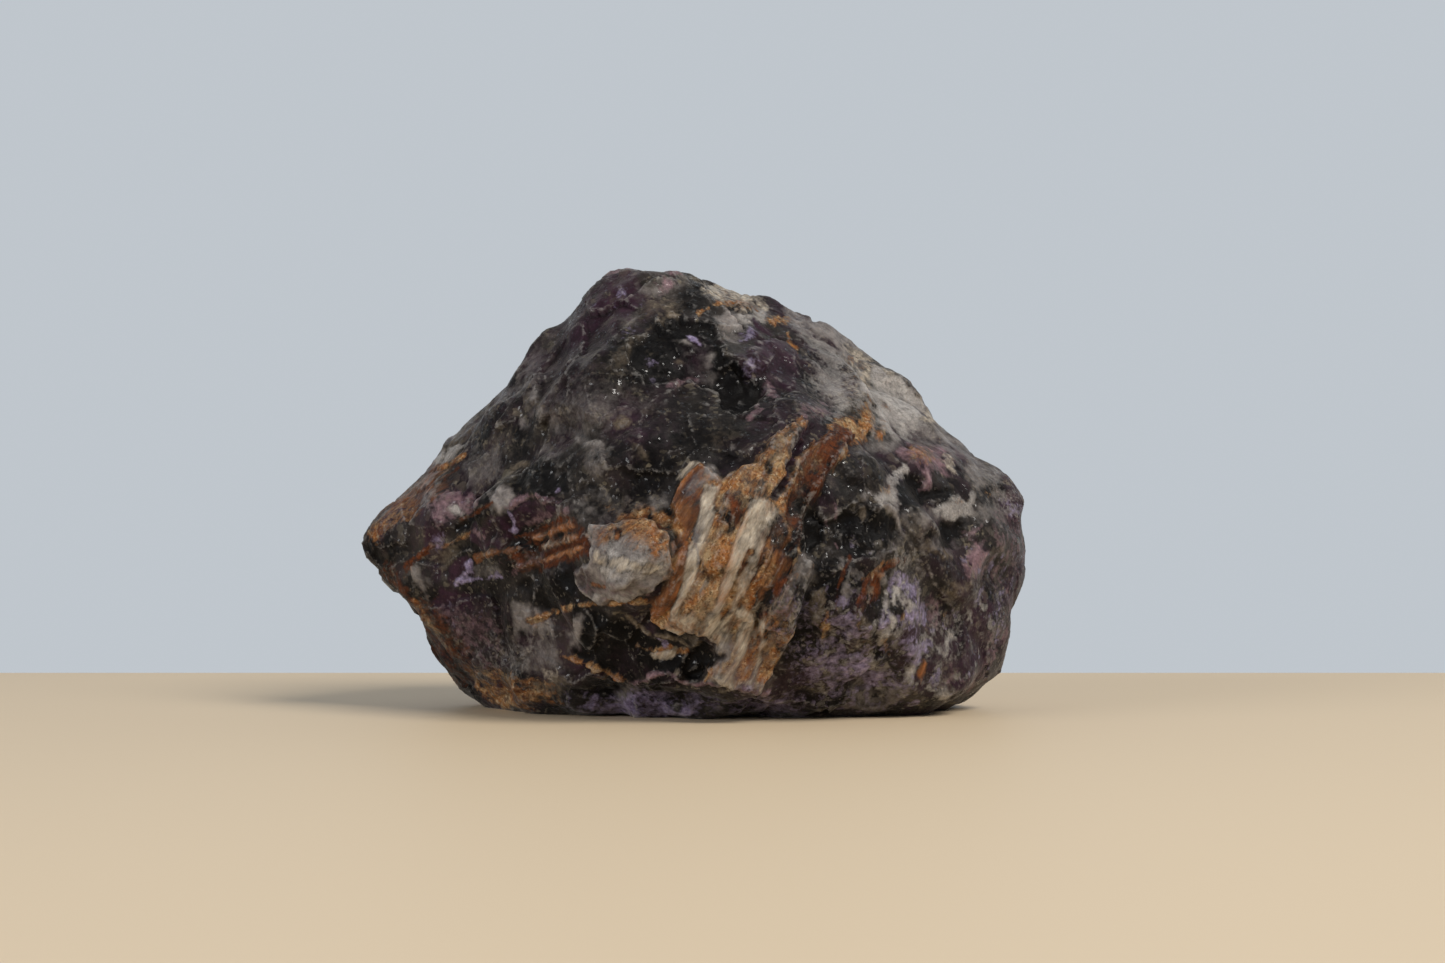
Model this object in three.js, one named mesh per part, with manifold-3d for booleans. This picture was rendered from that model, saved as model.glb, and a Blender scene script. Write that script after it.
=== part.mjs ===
// A rough chunk of rainbow fluorite that rests on a small flat spot.
// Millimetres, +Z up, the veined face towards -Y, +X to the right of someone who looks at that face.
// The origin is on the resting plane, under the middle of the chunk's box.
import * as THREE from 'three';
import { ConvexHull } from 'three/addons/math/ConvexHull.js';
import { ImprovedNoise } from 'three/addons/math/ImprovedNoise.js';
import { mergeVertices } from 'three/addons/utils/BufferGeometryUtils.js';
import Module from 'manifold-3d';

const wasm = await Module();
wasm.setup();

// ---- Driving dimensions ----

const heart = new THREE.Vector3(0, 0, 27); // every ray that shapes the surface starts here
const meshDetail = 17; // how finely each face of the starting icosahedron is divided
const edgeSharpness = 60; // higher keeps the edges between the main faces crisper
const spareBelow = 4; // stone left under the resting plane until it is cut flat

// Main corners of the broken chunk. Its large faces are the hull of these points.
const rimCorners = [
  [-48.3, 6, 22.3], // left tip
  [-42, 8, 30],
  [-36.5, 10, 36],
  [-29.5, 8, 41.5],
  [-20, 4, 50],
  [-13, -2, 57.8], // front peak
  [-9, 2, 58],
  [-5, 14, 59.4], // rear hump
  [-1, 12, 59.7],
  [2.5, -3, 57.5],
  [10.5, 10, 57],
  [18.5, 12, 54.5],
  [23.2, 10, 49.4],
  [28.3, 8, 41.6],
  [34.2, 8, 35.4],
  [40.3, 6, 32.3],
  [46.2, 4, 29.3],
  [48, 3, 25], // right tip
  [47, 4, 19.5],
  [42.3, 4, 9.5],
  [40, 4, 2.5],
  [38.5, 7, 0.5],
  [-33, 13.5, 0.8],
  [-35.3, 12, 4.7],
];
const frontCorners = [
  [-6, -14, 51.5],
  [5, -15, 50],
  [-12.5, -21, 42],
  [8.5, -22, 42],
  [-23, -17, 32.5],
  [-15.5, -26, 26],
  [-0.5, -28, 32.5],
  [11, -28, 33],
  [22.5, -25, 32.5],
  [-30, -11, 24.5],
  [-37, -4, 20.5],
  [-5, -32, 20],
  [2, -32, 16],
  [12, -31, 16],
  [21, -29, 14.5],
  [30, -21, 21],
  [34, -17, 15.5],
  [36, -13, 4],
  [8, -24, 4],
  [-1, -25, 5],
  [-13, -21, 6],
  [-33, -4, 9.5],
];
const backCorners = [
  [-35, 21, 25],
  [-21, 29, 38],
  [-6, 29, 53],
  [13, 26, 50],
  [30, 26, 33],
  [38, 19, 12],
  [17, 33, 17],
  [-4, 33, 26],
  [-25, 27, 9],
  [1, 30, 3],
];
const restingDepth = -0.7; // the hull reaches this far below the resting plane, so the cut is clean
const restingCorners = [
  [-23, 9],
  [-19, -12],
  [12, -15],
  [29, -9],
  [33, 6],
  [23, 18],
  [-11, 19],
].map(([x, y]) => [x, y, restingDepth]);

// Swells and hollows: a line on the surface, how far around it they reach, and their height.
const swells = [
  { name: 'pale crystal lump', from: [-12, -27, 22], to: [-8, -29, 21], reach: 6.5, lift: 3 },
  { name: 'bladed vein', from: [8, -28, 33], to: [0, -31, 14], reach: 10, lift: 1.3 },
  { name: 'violet lens', from: [-27, -13, 28.5], to: [-16, -25, 27.5], reach: 4.5, lift: 1.4 },
  { name: 'lower left wisps', from: [-30, -6, 10], to: [-20, -15, 14], reach: 9, lift: -1 },
  { name: 'black hollow', from: [-5, -15, 48], to: [7, -19, 44], reach: 8, lift: -1.6 },
  { name: 'pit under the vein', from: [-1, -27, 9.5], to: [0, -27, 7.5], reach: 4.5, lift: -2.4 },
  { name: 'undercut', from: [-16, -19, 2], to: [8, -22, 1.5], reach: 4, lift: -1.8 },
  { name: 'right crease', from: [26, -23, 28], to: [33, -18, 15], reach: 4, lift: -1.2 },
  { name: 'right flank', from: [38, -5, 24], to: [40, -4, 14], reach: 11, lift: 0.8 },
  { name: 'under the left tip', from: [-42, 7, 15], to: [-37, 10, 8], reach: 8, lift: -1.4 },
  { name: 'left shoulder', from: [-30, 2, 41], to: [-26, 6, 45], reach: 9, lift: -1.3 },
  { name: 'notch behind the peak', from: [13, 4, 55], to: [14, 14, 55], reach: 5, lift: -1.1 },
  { name: 'right shoulder', from: [31, 6, 38], to: [36, 6, 34], reach: 7, lift: -1 },
  { name: 'rear trough', from: [-10, 31, 16], to: [12, 30, 36], reach: 9, lift: -2.2 },
  { name: 'left rear notch', from: [-33, 17, 14], to: [-30, 20, 28], reach: 8, lift: -1.5 },
];

// Rolling waves over the whole surface: wavelength and height.
const waves = [
  { length: 19, height: 0.7 },
  { length: 8, height: 0.6 },
];

// Broken facets: each cell of the surface is a small tilted plane.
const facets = [
  { cell: 13, tilt: 0.2 },
  { cell: 7, tilt: 0.2 },
];
const facetCrispness = 2.2; // per millimetre: how fast one facet gives way to the next

const stoneColour = 0x4a4248;
const stoneRoughness = 0.45;

// ---- Main faces ----

const corners = [...rimCorners, ...frontCorners, ...backCorners, ...restingCorners];
const hull = new ConvexHull().setFromPoints(corners.map((corner) => new THREE.Vector3(...corner)));
const straightDown = -0.999; // a face whose normal is steeper than this is the resting face

const mainFaces = hull.faces
  .filter((face) => face.normal.z > straightDown)
  .map((face) => ({ normal: face.normal.clone(), reach: face.constant - face.normal.dot(heart) }));

/** Distance from the heart to the rounded hull along a direction. */
function hullReach(direction) {
  let sum = 0;
  for (const { normal, reach } of mainFaces) {
    const closeness = Math.max(0, normal.dot(direction) / reach);
    sum += closeness ** edgeSharpness;
  }
  return sum ** (-1 / edgeSharpness);
}

/** Distance along a direction to the plane that bounds the spare stone below. */
function spareReach(direction) {
  return direction.z < 0 ? (heart.z + spareBelow) / -direction.z : Infinity;
}

// ---- Relief ----

const noise = new ImprovedNoise();

/** A repeatable number from 0 to 1 for a lattice cell. */
function scatter(i, j, k, channel) {
  const spin = Math.sin(i * 127.1 + j * 311.7 + k * 74.7 + channel * 53.3) * 43758.5453;
  return spin - Math.floor(spin);
}

/** Height of the facets at a point: each scattered seed's own tilted plane, the nearest counting most. */
function facetHeight(point, { cell, tilt }) {
  const home = point.clone().divideScalar(cell).floor();
  let weights = 0;
  let height = 0;
  for (let i = home.x - 1; i <= home.x + 1; i++) {
    for (let j = home.y - 1; j <= home.y + 1; j++) {
      for (let k = home.z - 1; k <= home.z + 1; k++) {
        const jitter = new THREE.Vector3(scatter(i, j, k, 1), scatter(i, j, k, 2), scatter(i, j, k, 3));
        const seed = new THREE.Vector3(i, j, k).add(jitter).multiplyScalar(cell);
        const offset = point.clone().sub(seed);
        const lean = new THREE.Vector3(scatter(i, j, k, 4), scatter(i, j, k, 5), scatter(i, j, k, 6));
        const weight = Math.exp(-facetCrispness * offset.length());
        height += weight * lean.subScalar(0.5).multiplyScalar(2 * tilt).dot(offset);
        weights += weight;
      }
    }
  }
  return height / weights;
}

/** Height of one rolling wave at a point. */
function waveHeight(point, { length, height }) {
  return height * noise.noise(point.x / length, point.y / length, point.z / length);
}

/** Height of a swell at a point: full on its line, smoothly down to nothing at its reach. */
function swellHeight(point, { from, to, reach, lift }) {
  const line = new THREE.Line3(new THREE.Vector3(...from), new THREE.Vector3(...to));
  const onLine = line.closestPointToPoint(point, true, new THREE.Vector3());
  const fade = THREE.MathUtils.smoothstep(reach - point.distanceTo(onLine), 0, reach);
  return lift * fade;
}

/** The surface point along a direction, with all the relief. */
function surfacePoint(direction) {
  const smooth = direction.clone().multiplyScalar(hullReach(direction)).add(heart);
  let height = 0;
  for (const wave of waves) height += waveHeight(smooth, wave);
  for (const facet of facets) height += facetHeight(smooth, facet);
  for (const swell of swells) height += swellHeight(smooth, swell);
  const reach = Math.min(hullReach(direction) + height, spareReach(direction));
  return direction.clone().multiplyScalar(reach).add(heart);
}

// ---- The solid ----

/** A closed geometry as a solid that can be cut. */
function solidOf(geometry) {
  geometry.deleteAttribute('normal');
  geometry.deleteAttribute('uv');
  const merged = mergeVertices(geometry);
  const vertProperties = merged.attributes.position.array;
  const triVerts = new Uint32Array(merged.index.array);
  return new wasm.Manifold(new wasm.Mesh({ numProp: 3, vertProperties, triVerts }));
}

/** The rough chunk before it is cut flat to rest. */
function roughChunk() {
  const ball = new THREE.IcosahedronGeometry(1, meshDetail);
  ball.deleteAttribute('normal');
  ball.deleteAttribute('uv');
  const shell = mergeVertices(ball);
  const places = shell.attributes.position;
  for (let index = 0; index < places.count; index++) {
    const direction = new THREE.Vector3().fromBufferAttribute(places, index).normalize();
    places.setXYZ(index, ...surfacePoint(direction));
  }
  return solidOf(shell);
}

/** Everything below the resting plane, as a block. */
function groundBlock() {
  const side = 200;
  const depth = 40;
  return solidOf(new THREE.BoxGeometry(side, side, depth).translate(0, 0, -depth / 2));
}

const { vertProperties, triVerts } = roughChunk().subtract(groundBlock()).getMesh();
const geometry = new THREE.BufferGeometry();
geometry.setAttribute('position', new THREE.BufferAttribute(vertProperties, 3));
geometry.setIndex(new THREE.BufferAttribute(triVerts, 1));
geometry.computeBoundingBox();
const middle = geometry.boundingBox.getCenter(new THREE.Vector3());
geometry.translate(-middle.x, -middle.y, 0);
geometry.computeVertexNormals();

const stone = new THREE.MeshStandardMaterial({
  color: stoneColour,
  roughness: stoneRoughness,
  metalness: 0,
  flatShading: true,
});
const chunk = new THREE.Mesh(geometry, stone);
chunk.name = 'fluorite_chunk';

const group = new THREE.Group();
group.add(chunk);

export default group;
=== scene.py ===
"""Looks of a raw chunk of rainbow fluorite, on a plain floor in soft studio light.

The CAD node gives the chunk's size, place and main faces. This script refines a copy of it into the broken
surface, marks where each growth lies (plum fluorite, milky crystal, ochre, rust and the rest) and dresses it.
Lengths are millimetres while the surface is worked out, and metres in the finished mesh. The growths of the
veined face are drawn in pixels of the camera's frame.
"""
import logging
from collections.abc import Iterator
from dataclasses import dataclass, field, replace
from enum import Enum

import bmesh
import bpy
import numpy as np
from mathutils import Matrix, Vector


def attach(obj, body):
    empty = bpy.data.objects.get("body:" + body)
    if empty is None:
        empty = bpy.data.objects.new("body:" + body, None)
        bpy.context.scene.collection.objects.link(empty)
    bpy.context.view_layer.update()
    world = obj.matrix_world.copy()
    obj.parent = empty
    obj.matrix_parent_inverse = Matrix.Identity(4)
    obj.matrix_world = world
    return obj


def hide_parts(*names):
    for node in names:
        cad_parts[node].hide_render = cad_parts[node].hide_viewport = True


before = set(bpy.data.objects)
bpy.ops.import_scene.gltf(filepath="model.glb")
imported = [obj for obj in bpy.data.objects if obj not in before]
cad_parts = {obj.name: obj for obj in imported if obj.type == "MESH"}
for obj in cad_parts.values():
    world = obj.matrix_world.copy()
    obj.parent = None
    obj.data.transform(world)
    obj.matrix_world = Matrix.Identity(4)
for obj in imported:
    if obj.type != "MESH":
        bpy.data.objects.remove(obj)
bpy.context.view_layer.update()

log = logging.getLogger("fluorite")

MM = 0.001  # metres in a millimetre
EYE = np.array([4.2, -440.0, 31.0])  # where the viewer's eye is, in millimetres
EYE_LENS = 80.72  # the camera's focal length, in millimetres
SENSOR_WIDTH = 36.0  # how wide the camera's sensor is, in millimetres
FRAME_SIZE = np.array([1445.0, 963.0])  # the camera's frame, in pixels
PIXEL = -EYE[1] * SENSOR_WIDTH / (EYE_LENS * FRAME_SIZE[0])  # a pixel on the middle plane, in millimetres

Points = np.ndarray  # (count, 3) or (count, 2) places
Values = np.ndarray  # (count,) numbers, one for each place
Colour = tuple[float, float, float, float]  # the shader's own linear colour


class Growth(Enum):
    """The minerals and stains that show on the chunk's surface; some of their patches are painted light and
    shade.
    """

    VEIL = "veil"  # grey translucent wisps
    BEIGE = "beige"  # weathered olive-beige crust
    PLUM = "plum"  # dark purple fluorite
    SOOT = "soot"  # nearly black fluorite
    FROST = "frost"  # pale grey weathered crystal
    BLUSH = "blush"  # mauve-pink crystal
    # pale violet crystal; many of its small bright patches on the veined face are painted glints and sheen
    LILAC_AND_SHEEN = "lilac_and_sheen"  # pale violet sheen
    TAN = "tan"  # brown translucent crystal
    MILK = "milk"  # white crystal
    OCHRE = "ochre"  # granular yellow-brown stain
    RUST = "rust"  # iron-brown slabs and seams


VEIL, BEIGE, PLUM, SOOT, FROST, BLUSH, LILAC_AND_SHEEN, TAN, MILK, OCHRE, RUST = Growth

STAINS = (TAN, OCHRE, RUST)  # growths with crisper edges
PALE = (VEIL, BEIGE, FROST, BLUSH, LILAC_AND_SHEEN)  # growths that a region may lay more thinly
COARSE = (BEIGE, FROST, LILAC_AND_SHEEN, TAN, MILK, OCHRE, RUST)  # growths whose streaks are never hair-thin


class Body(Enum):
    """The three ways in which a growth takes light."""

    GLASS = "glass"
    CRYSTAL = "crystal"
    POWDER = "powder"


# ---------------------------------------------------------------- patterns


def smoothstep(low: float, high: float, values: Values) -> Values:
    """A smooth rise from 0 at low to 1 at high."""
    rise = np.clip((values - low) / (high - low), 0.0, 1.0)
    return rise * rise * (3.0 - 2.0 * rise)


@dataclass(frozen=True)
class Lattice:
    """Repeatable patterns on a lattice of random numbers, for many points at once."""

    seed: int = 7

    def scatter(self, cells: np.ndarray, channel: int) -> Values:
        """Gives each lattice cell a repeatable random number.

        Args:
            cells: Whole-number cell coordinates, three to a row.
            channel: Which of the cell's numbers is wanted.

        Returns:
            A number from 0 to 1 for each row.
        """
        steps = cells.astype(np.int64).astype(np.uint32)
        mixed = steps[..., 0] * np.uint32(0x8DA6B343)
        mixed ^= steps[..., 1] * np.uint32(0xD8163841)
        mixed ^= steps[..., 2] * np.uint32(0xCB1AB31F)
        mixed ^= np.uint32((self.seed * 0x9E3779B9 + channel * 0x85EBCA6B) & 0xFFFFFFFF)
        mixed ^= mixed >> np.uint32(15)
        mixed *= np.uint32(0x2C1B3C6D)
        mixed ^= mixed >> np.uint32(12)
        mixed *= np.uint32(0x297A2D39)
        mixed ^= mixed >> np.uint32(15)
        return mixed.astype(np.float64) / 2.0**32

    def waves(self, points: Points, length: float, octaves: int = 3, channel: int = 0) -> Values:
        """Smooth random waves.

        Args:
            points: Places, three to a row.
            length: Wavelength of the longest waves.
            octaves: How many times the waves are repeated at half the length and height.
            channel: Which pattern is wanted.

        Returns:
            A height of about -1 to 1 at each place.
        """
        total = np.zeros(len(points))
        strength = 1.0
        for octave in range(octaves):
            place = points / (length * 0.5**octave)
            home = np.floor(place)
            part = place - home
            part = part * part * (3.0 - 2.0 * part)
            height = np.zeros(len(points))
            for corner in np.ndindex(2, 2, 2):
                share = np.prod(np.where(corner, part, 1.0 - part), axis=1)
                height += share * self.scatter(home + corner, channel * 8 + octave)
            total += strength * (2.0 * height - 1.0)
            strength *= 0.5
        return total

    def facets(self, points: Points, cell: float, tilt: float | Values, channel: int = 0) -> Values:
        """Small flat facets, each tilted its own way, with steps between them.

        Args:
            points: Places, three to a row.
            cell: Usual width of a facet.
            tilt: Steepest slope of a facet, the same everywhere or one for each place.
            channel: Which pattern is wanted.

        Returns:
            The facets' height at each place.
        """
        home = np.floor(points / cell)
        nearest = np.full(len(points), np.inf)
        height = np.zeros(len(points))
        for step in np.ndindex(3, 3, 3):
            around = home + step - 1
            jitter = [self.scatter(around, channel * 8 + axis) for axis in range(3)]
            lean = [self.scatter(around, channel * 8 + 3 + axis) - 0.5 for axis in range(3)]
            offset = points - (around + np.stack(jitter, axis=1)) * cell
            far = np.einsum("ij,ij->i", offset, offset)
            plane = 2.0 * tilt * np.einsum("ij,ij->i", np.stack(lean, axis=1), offset)
            closer = far < nearest
            nearest = np.where(closer, far, nearest)
            height = np.where(closer, plane, height)
        return height


LATTICE = Lattice()


# ---------------------------------------------------------------- growths on the veined face


@dataclass(frozen=True)
class Patch:
    """A closed stretch of one growth, drawn on the upright plane through the chunk's middle.

    Attributes:
        growth: What grows here.
        cover: How much of the stretch it covers, from 0 to 1.
        edge: How wide its torn edge is, in millimetres.
        lift: How far it stands out of the stone, in millimetres.
        outline: Its corners as the viewer sees them, in pixels of the frame.
    """

    growth: Growth
    cover: float
    edge: float
    lift: float
    outline: list[tuple[int, int]]

    @property
    def corners(self) -> Points:
        """The outline's corners in millimetres, across and up."""
        return EYE[[0, 2]] + (np.array(self.outline) - FRAME_SIZE / 2.0) * (PIXEL, -PIXEL)

    def laid(self, region: "Region") -> "Patch":
        """The same patch with its edge and cover as its region lays them.

        Args:
            region: The region that it belongs to.

        Returns:
            The patch as it is laid.
        """
        edge = self.edge * region.softness + region.least_edge
        if self.growth in STAINS:
            edge *= region.stain_edge
        thinned = self.growth in PALE and self.cover > region.strong_cover
        return replace(self, edge=edge, cover=self.cover * (region.pale_cover if thinned else 1.0))

    def inside(self, places: Points) -> Values:
        """Measures how far inside the outline each place lies.

        Args:
            places: Places on the middle plane, across and up.

        Returns:
            Each place's distance to the outline, negative outside it.
        """
        corners = self.corners
        ends = np.roll(corners, -1, axis=0)
        far = distance_to_lines(places, corners, ends)
        crossings = np.zeros(len(places), dtype=bool)
        for (ax, ay), (bx, by) in zip(corners, ends):
            if ay == by:
                continue
            spans = (ay > places[:, 1]) != (by > places[:, 1])
            crossings ^= spans & (places[:, 0] < (bx - ax) * (places[:, 1] - ay) / (by - ay) + ax)
        return np.where(crossings, far, -far)


@dataclass(frozen=True)
class Streak(Patch):
    """A bent strip of one growth: the outline is its middle line.

    Attributes:
        width: How wide the strip is, in pixels of the frame.
    """

    width: float = 7.0

    def laid(self, region: "Region") -> "Patch":
        """The same strip with its edge, cover and width as its region lays them.

        Args:
            region: The region that it belongs to.

        Returns:
            The strip as it is laid.
        """
        width = self.width
        if self.growth in COARSE:
            width = max(width * region.widening, region.least_streak)
        return replace(super().laid(region), width=width)

    def inside(self, places: Points) -> Values:
        """Distance from each place to the strip's edge, positive inside."""
        corners = self.corners
        return self.width * PIXEL / 2.0 - distance_to_lines(places, corners[:-1], corners[1:])


@dataclass(frozen=True)
class Region:
    """A part of the veined face, and the way its growths are laid.

    Attributes:
        patches: Its growths as they are drawn, the lowest layer first.
        softness: How many times its drawn width each edge is.
        least_edge: How wide a sharp edge still comes out, in millimetres.
        stain_edge: How much of that width the edges of the stains keep.
        pale_cover: How much of a strong cover of a pale growth is kept.
        strong_cover: From which cover on a pale growth counts as strong.
        widening: How many times its drawn width a streak of a coarse growth is.
        least_streak: The least width of such a streak, in pixels of the frame.
    """

    patches: tuple[Patch, ...]
    softness: float = 1.7
    least_edge: float = 0.35
    stain_edge: float = 0.7
    pale_cover: float = 1.0
    strong_cover: float = 0.6
    widening: float = 1.2
    least_streak: float = 4.4


def distance_to_lines(places: Points, starts: Points, ends: Points) -> Values:
    """Finds how near some straight lines come to each place.

    Args:
        places: Places on the middle plane, across and up.
        starts: Where the lines start.
        ends: Where they end.

    Returns:
        Each place's distance to the nearest line.
    """
    nearest = np.full(len(places), np.inf)
    for start, end in zip(starts, ends):
        along = end - start
        share = np.clip((places - start) @ along / max(along @ along, 1e-9), 0.0, 1.0)
        offset = places - start - share[:, None] * along
        nearest = np.minimum(nearest, np.hypot(offset[:, 0], offset[:, 1]))
    return nearest


# Near the top: the plum shoulder, the beige ledge and the black hollow under it.
CROWN = (
    Patch(PLUM, 0.85, 3, 0, [(545, 372), (570, 322), (590, 290), (608, 278), (640, 280), (676, 314),
        (655, 320), (640, 332), (614, 342), (604, 360), (604, 400), (575, 412), (555, 396)]),
    Streak(VEIL, 0.5, 2, 0, [(440, 450), (500, 398), (545, 350), (590, 286)], 8),
    Patch(VEIL, 0.75, 1, 0, [(626, 317), (636, 314), (639, 324), (628, 328)]),
    # painted violet sheen, then a small spot of painted highlight
    Streak(LILAC_AND_SHEEN, 0.55, 1, 0, [(606, 348), (645, 324)], 3.5),
    Patch(LILAC_AND_SHEEN, 0.6, 0.6, 0, [(617, 287), (625, 288), (624, 294), (618, 294)]),
    Patch(VEIL, 0.6, 2, 0, [(634, 286), (646, 278), (672, 276), (690, 284), (682, 296), (655, 300),
        (640, 298)]),
    Patch(BLUSH, 0.8, 1.2, 0, [(656, 279), (674, 278), (678, 288), (664, 292)]),
    Patch(BEIGE, 0.5, 1.5, 0, [(645, 300), (672, 300), (686, 305), (672, 316), (655, 318), (642, 310)]),
    Patch(SOOT, 0.75, 1, 0.15, [(676, 292), (692, 283), (702, 283), (712, 296), (708, 306), (695, 312)]),
    Patch(FROST, 0.85, 1.5, 0, [(708, 287), (720, 284), (740, 286), (768, 308), (757, 313), (735, 306),
        (712, 304)]),
    Patch(BLUSH, 0.4, 2, 0, [(722, 294), (745, 292), (760, 304), (740, 304)]),
    Patch(VEIL, 0.95, 0.8, 0.1, [(712, 322), (722, 312), (742, 312), (743, 330), (740, 347), (728, 342)]),
    Streak(OCHRE, 0.95, 0.3, 0.05, [(700, 312), (728, 300), (758, 309)], 3),
    Patch(FROST, 0.8, 0.8, 0.1, [(742, 314), (762, 314), (764, 328), (744, 330)]),
    Patch(SOOT, 1, 0.35, -0.9, [(624, 352), (632, 340), (672, 322), (680, 315), (705, 318), (716, 332),
        (722, 345), (762, 384), (761, 398), (735, 412), (722, 404), (716, 390), (672, 380), (655, 384),
        (628, 364)]),
    Patch(PLUM, 0.3, 2.5, 0, [(640, 345), (700, 330), (720, 360), (700, 385), (650, 380)]),
    Streak(BEIGE, 1, 0.35, 0.35, [(614, 370), (615, 355), (634, 338), (674, 315)], 5.5),
    Patch(BEIGE, 1, 0.35, 0.3, [(614, 350), (622, 346), (627, 352), (628, 362), (624, 371), (617, 373),
        (612, 364)]),
    # painted violet glint
    Patch(LILAC_AND_SHEEN, 1, 0.3, 0.1, [(689, 330), (695, 333), (697, 339), (690, 338)]),
    Streak(VEIL, 0.85, 0.5, 0.1, [(672, 335), (684, 338), (690, 346), (690, 352)], 4),
    Patch(BEIGE, 1, 0.3, 0.2, [(673, 362), (680, 359), (688, 361), (685, 366), (676, 366)]),
    Streak(VEIL, 0.6, 0.8, 0.1, [(713, 352), (716, 364), (712, 376)], 4),
    Streak(BLUSH, 0.95, 0.35, 0.15, [(671, 385), (696, 376)], 5),
    # painted violet glints
    Streak(LILAC_AND_SHEEN, 0.9, 0.3, 0, [(650, 358), (655, 364)], 3),
    Streak(LILAC_AND_SHEEN, 0.7, 0.3, 0, [(655, 374), (659, 379)], 3),
    Patch(VEIL, 0.35, 1.5, 0, [(696, 350), (712, 345), (718, 372), (702, 384), (690, 372)]),
    Patch(SOOT, 0.85, 1, -0.35, [(722, 352), (740, 362), (760, 384), (760, 400), (740, 410), (724, 404),
        (720, 380)]),
    Patch(SOOT, 0.5, 3, 0, [(640, 385), (700, 390), (770, 425), (740, 450), (690, 462), (640, 450),
        (615, 420)]),
)

# Right of the crown: the plum swell, the pale slope and the ochre ring. The slope is weathered crystal, with
# painted reflection of the bright background along its rim.
SHOULDER = (
    Patch(PLUM, 0.9, 0.8, 0.1, [(741, 346), (744, 333), (755, 327), (768, 333)]),
    # painted violet sheen on the plum swell
    Patch(LILAC_AND_SHEEN, 0.6, 0.6, 0.05, [(741, 346), (743, 334), (750, 328), (754, 334), (748, 343)]),
    Streak(PLUM, 0.95, 0.4, 0.1, [(752, 320), (768, 334), (786, 332)], 3),
    Patch(OCHRE, 0.85, 0.6, 0.1, [(765, 318), (780, 315), (796, 317), (790, 323), (774, 329)]),
    Patch(PLUM, 1, 0.5, 0.5, [(745, 353), (758, 342), (775, 337), (787, 337), (801, 362), (798, 378),
        (790, 392), (760, 372)]),
    # painted violet glint
    Patch(LILAC_AND_SHEEN, 0.8, 0.6, 0.1, [(742, 362), (752, 363), (758, 374), (748, 377)]),
    Patch(BLUSH, 0.9, 0.5, 0.2, [(763, 384), (772, 381), (779, 392), (777, 403), (765, 397)]),
    Patch(PLUM, 0.75, 1.5, 0, [(757, 400), (776, 398), (793, 402), (790, 418), (766, 440), (742, 430),
        (745, 415)]),
    Patch(BLUSH, 0.95, 0.4, 0.15, [(752, 402), (759, 400), (760, 407), (753, 409)]),
    Patch(BLUSH, 0.9, 0.4, 0.1, [(749, 412), (757, 412), (754, 426), (750, 420)]),
    Patch(PLUM, 0.45, 2, 0, [(795, 350), (815, 350), (812, 376), (800, 396)]),
    Patch(FROST, 0.5, 3, 0, [(798, 330), (825, 340), (852, 365), (868, 385), (860, 396), (848, 426),
        (825, 418), (812, 402), (806, 380), (812, 365)]),
    Patch(FROST, 0.4, 2.5, 0.05, [(818, 384), (850, 380), (862, 394), (856, 420), (838, 414)]),
    Patch(OCHRE, 0.25, 2, 0, [(846, 384), (864, 392), (862, 420), (848, 418)]),
    Streak(FROST, 0.75, 0.8, 0.1, [(800, 326), (840, 362)], 5),
    Streak(VEIL, 0.9, 0.6, 0.1, [(815, 322), (835, 345), (852, 356)], 3),
    Patch(SOOT, 0.5, 1, 0, [(783, 330), (795, 328), (798, 340), (788, 342)]),
    Patch(SOOT, 0.4, 1.5, -0.15, [(806, 348), (820, 355), (824, 364), (812, 360)]),
    Streak(OCHRE, 0.95, 0.3, 0.05, [(786, 334), (797, 355)], 2),
    Streak(OCHRE, 1, 0.5, 0.1, [(848, 358), (856, 375), (866, 388), (878, 396), (886, 410), (885, 425),
        (878, 436)], 7),
    Patch(OCHRE, 0.95, 0.6, 0.1, [(864, 390), (873, 394), (872, 412), (876, 426), (866, 438), (856, 432),
        (862, 412)]),
    Patch(FROST, 0.7, 0.8, 0.05, [(874, 398), (882, 404), (882, 424), (874, 434), (870, 424)]),
    Patch(OCHRE, 0.95, 0.8, 0.1, [(824, 436), (834, 420), (846, 418), (862, 428), (866, 438), (852, 446),
        (835, 444)]),
    Patch(RUST, 0.7, 0.8, 0.05, [(832, 430), (840, 424), (846, 436), (838, 444)]),
    Patch(FROST, 0.85, 1, 0.1, [(885, 401), (905, 405), (916, 416), (902, 421), (890, 413)]),
    Patch(VEIL, 0.6, 1.5, 0, [(794, 403), (815, 400), (830, 408), (820, 418), (800, 419)]),
    Patch(BLUSH, 0.5, 1.5, 0, [(795, 404), (822, 400), (832, 412), (815, 422), (797, 418)]),
    Patch(VEIL, 0.6, 1.5, 0, [(863, 442), (890, 428), (902, 445), (882, 456), (856, 452)]),
    # pale rim along the top right: veil crystal, partly painted reflection of the bright background
    Patch(VEIL, 0.85, 2, 0, [(790, 311), (820, 316), (850, 334), (880, 360), (945, 436), (925, 442),
        (900, 420), (885, 392), (860, 366), (838, 354), (818, 334), (795, 326)]),
    Patch(SOOT, 0.45, 2, 0, [(862, 362), (880, 372), (896, 388), (884, 392), (866, 376)]),
    Patch(BLUSH, 0.95, 1, 0.2, [(898, 454), (912, 441), (935, 444), (951, 452), (953, 468), (945, 476),
        (908, 464)]),
    Patch(OCHRE, 0.5, 2, 0, [(908, 446), (935, 448), (938, 462), (912, 462)]),
    Patch(MILK, 0.75, 0.8, 0.1, [(943, 450), (955, 458), (957, 474), (946, 470)]),
    Patch(MILK, 0.9, 0.8, 0.05, [(704, 290), (720, 283), (742, 286), (760, 298), (768, 309), (745, 309),
        (722, 303)]),
    Patch(OCHRE, 0.4, 1, 0, [(712, 300), (740, 296), (762, 304), (758, 310), (724, 306)]),
)

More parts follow.
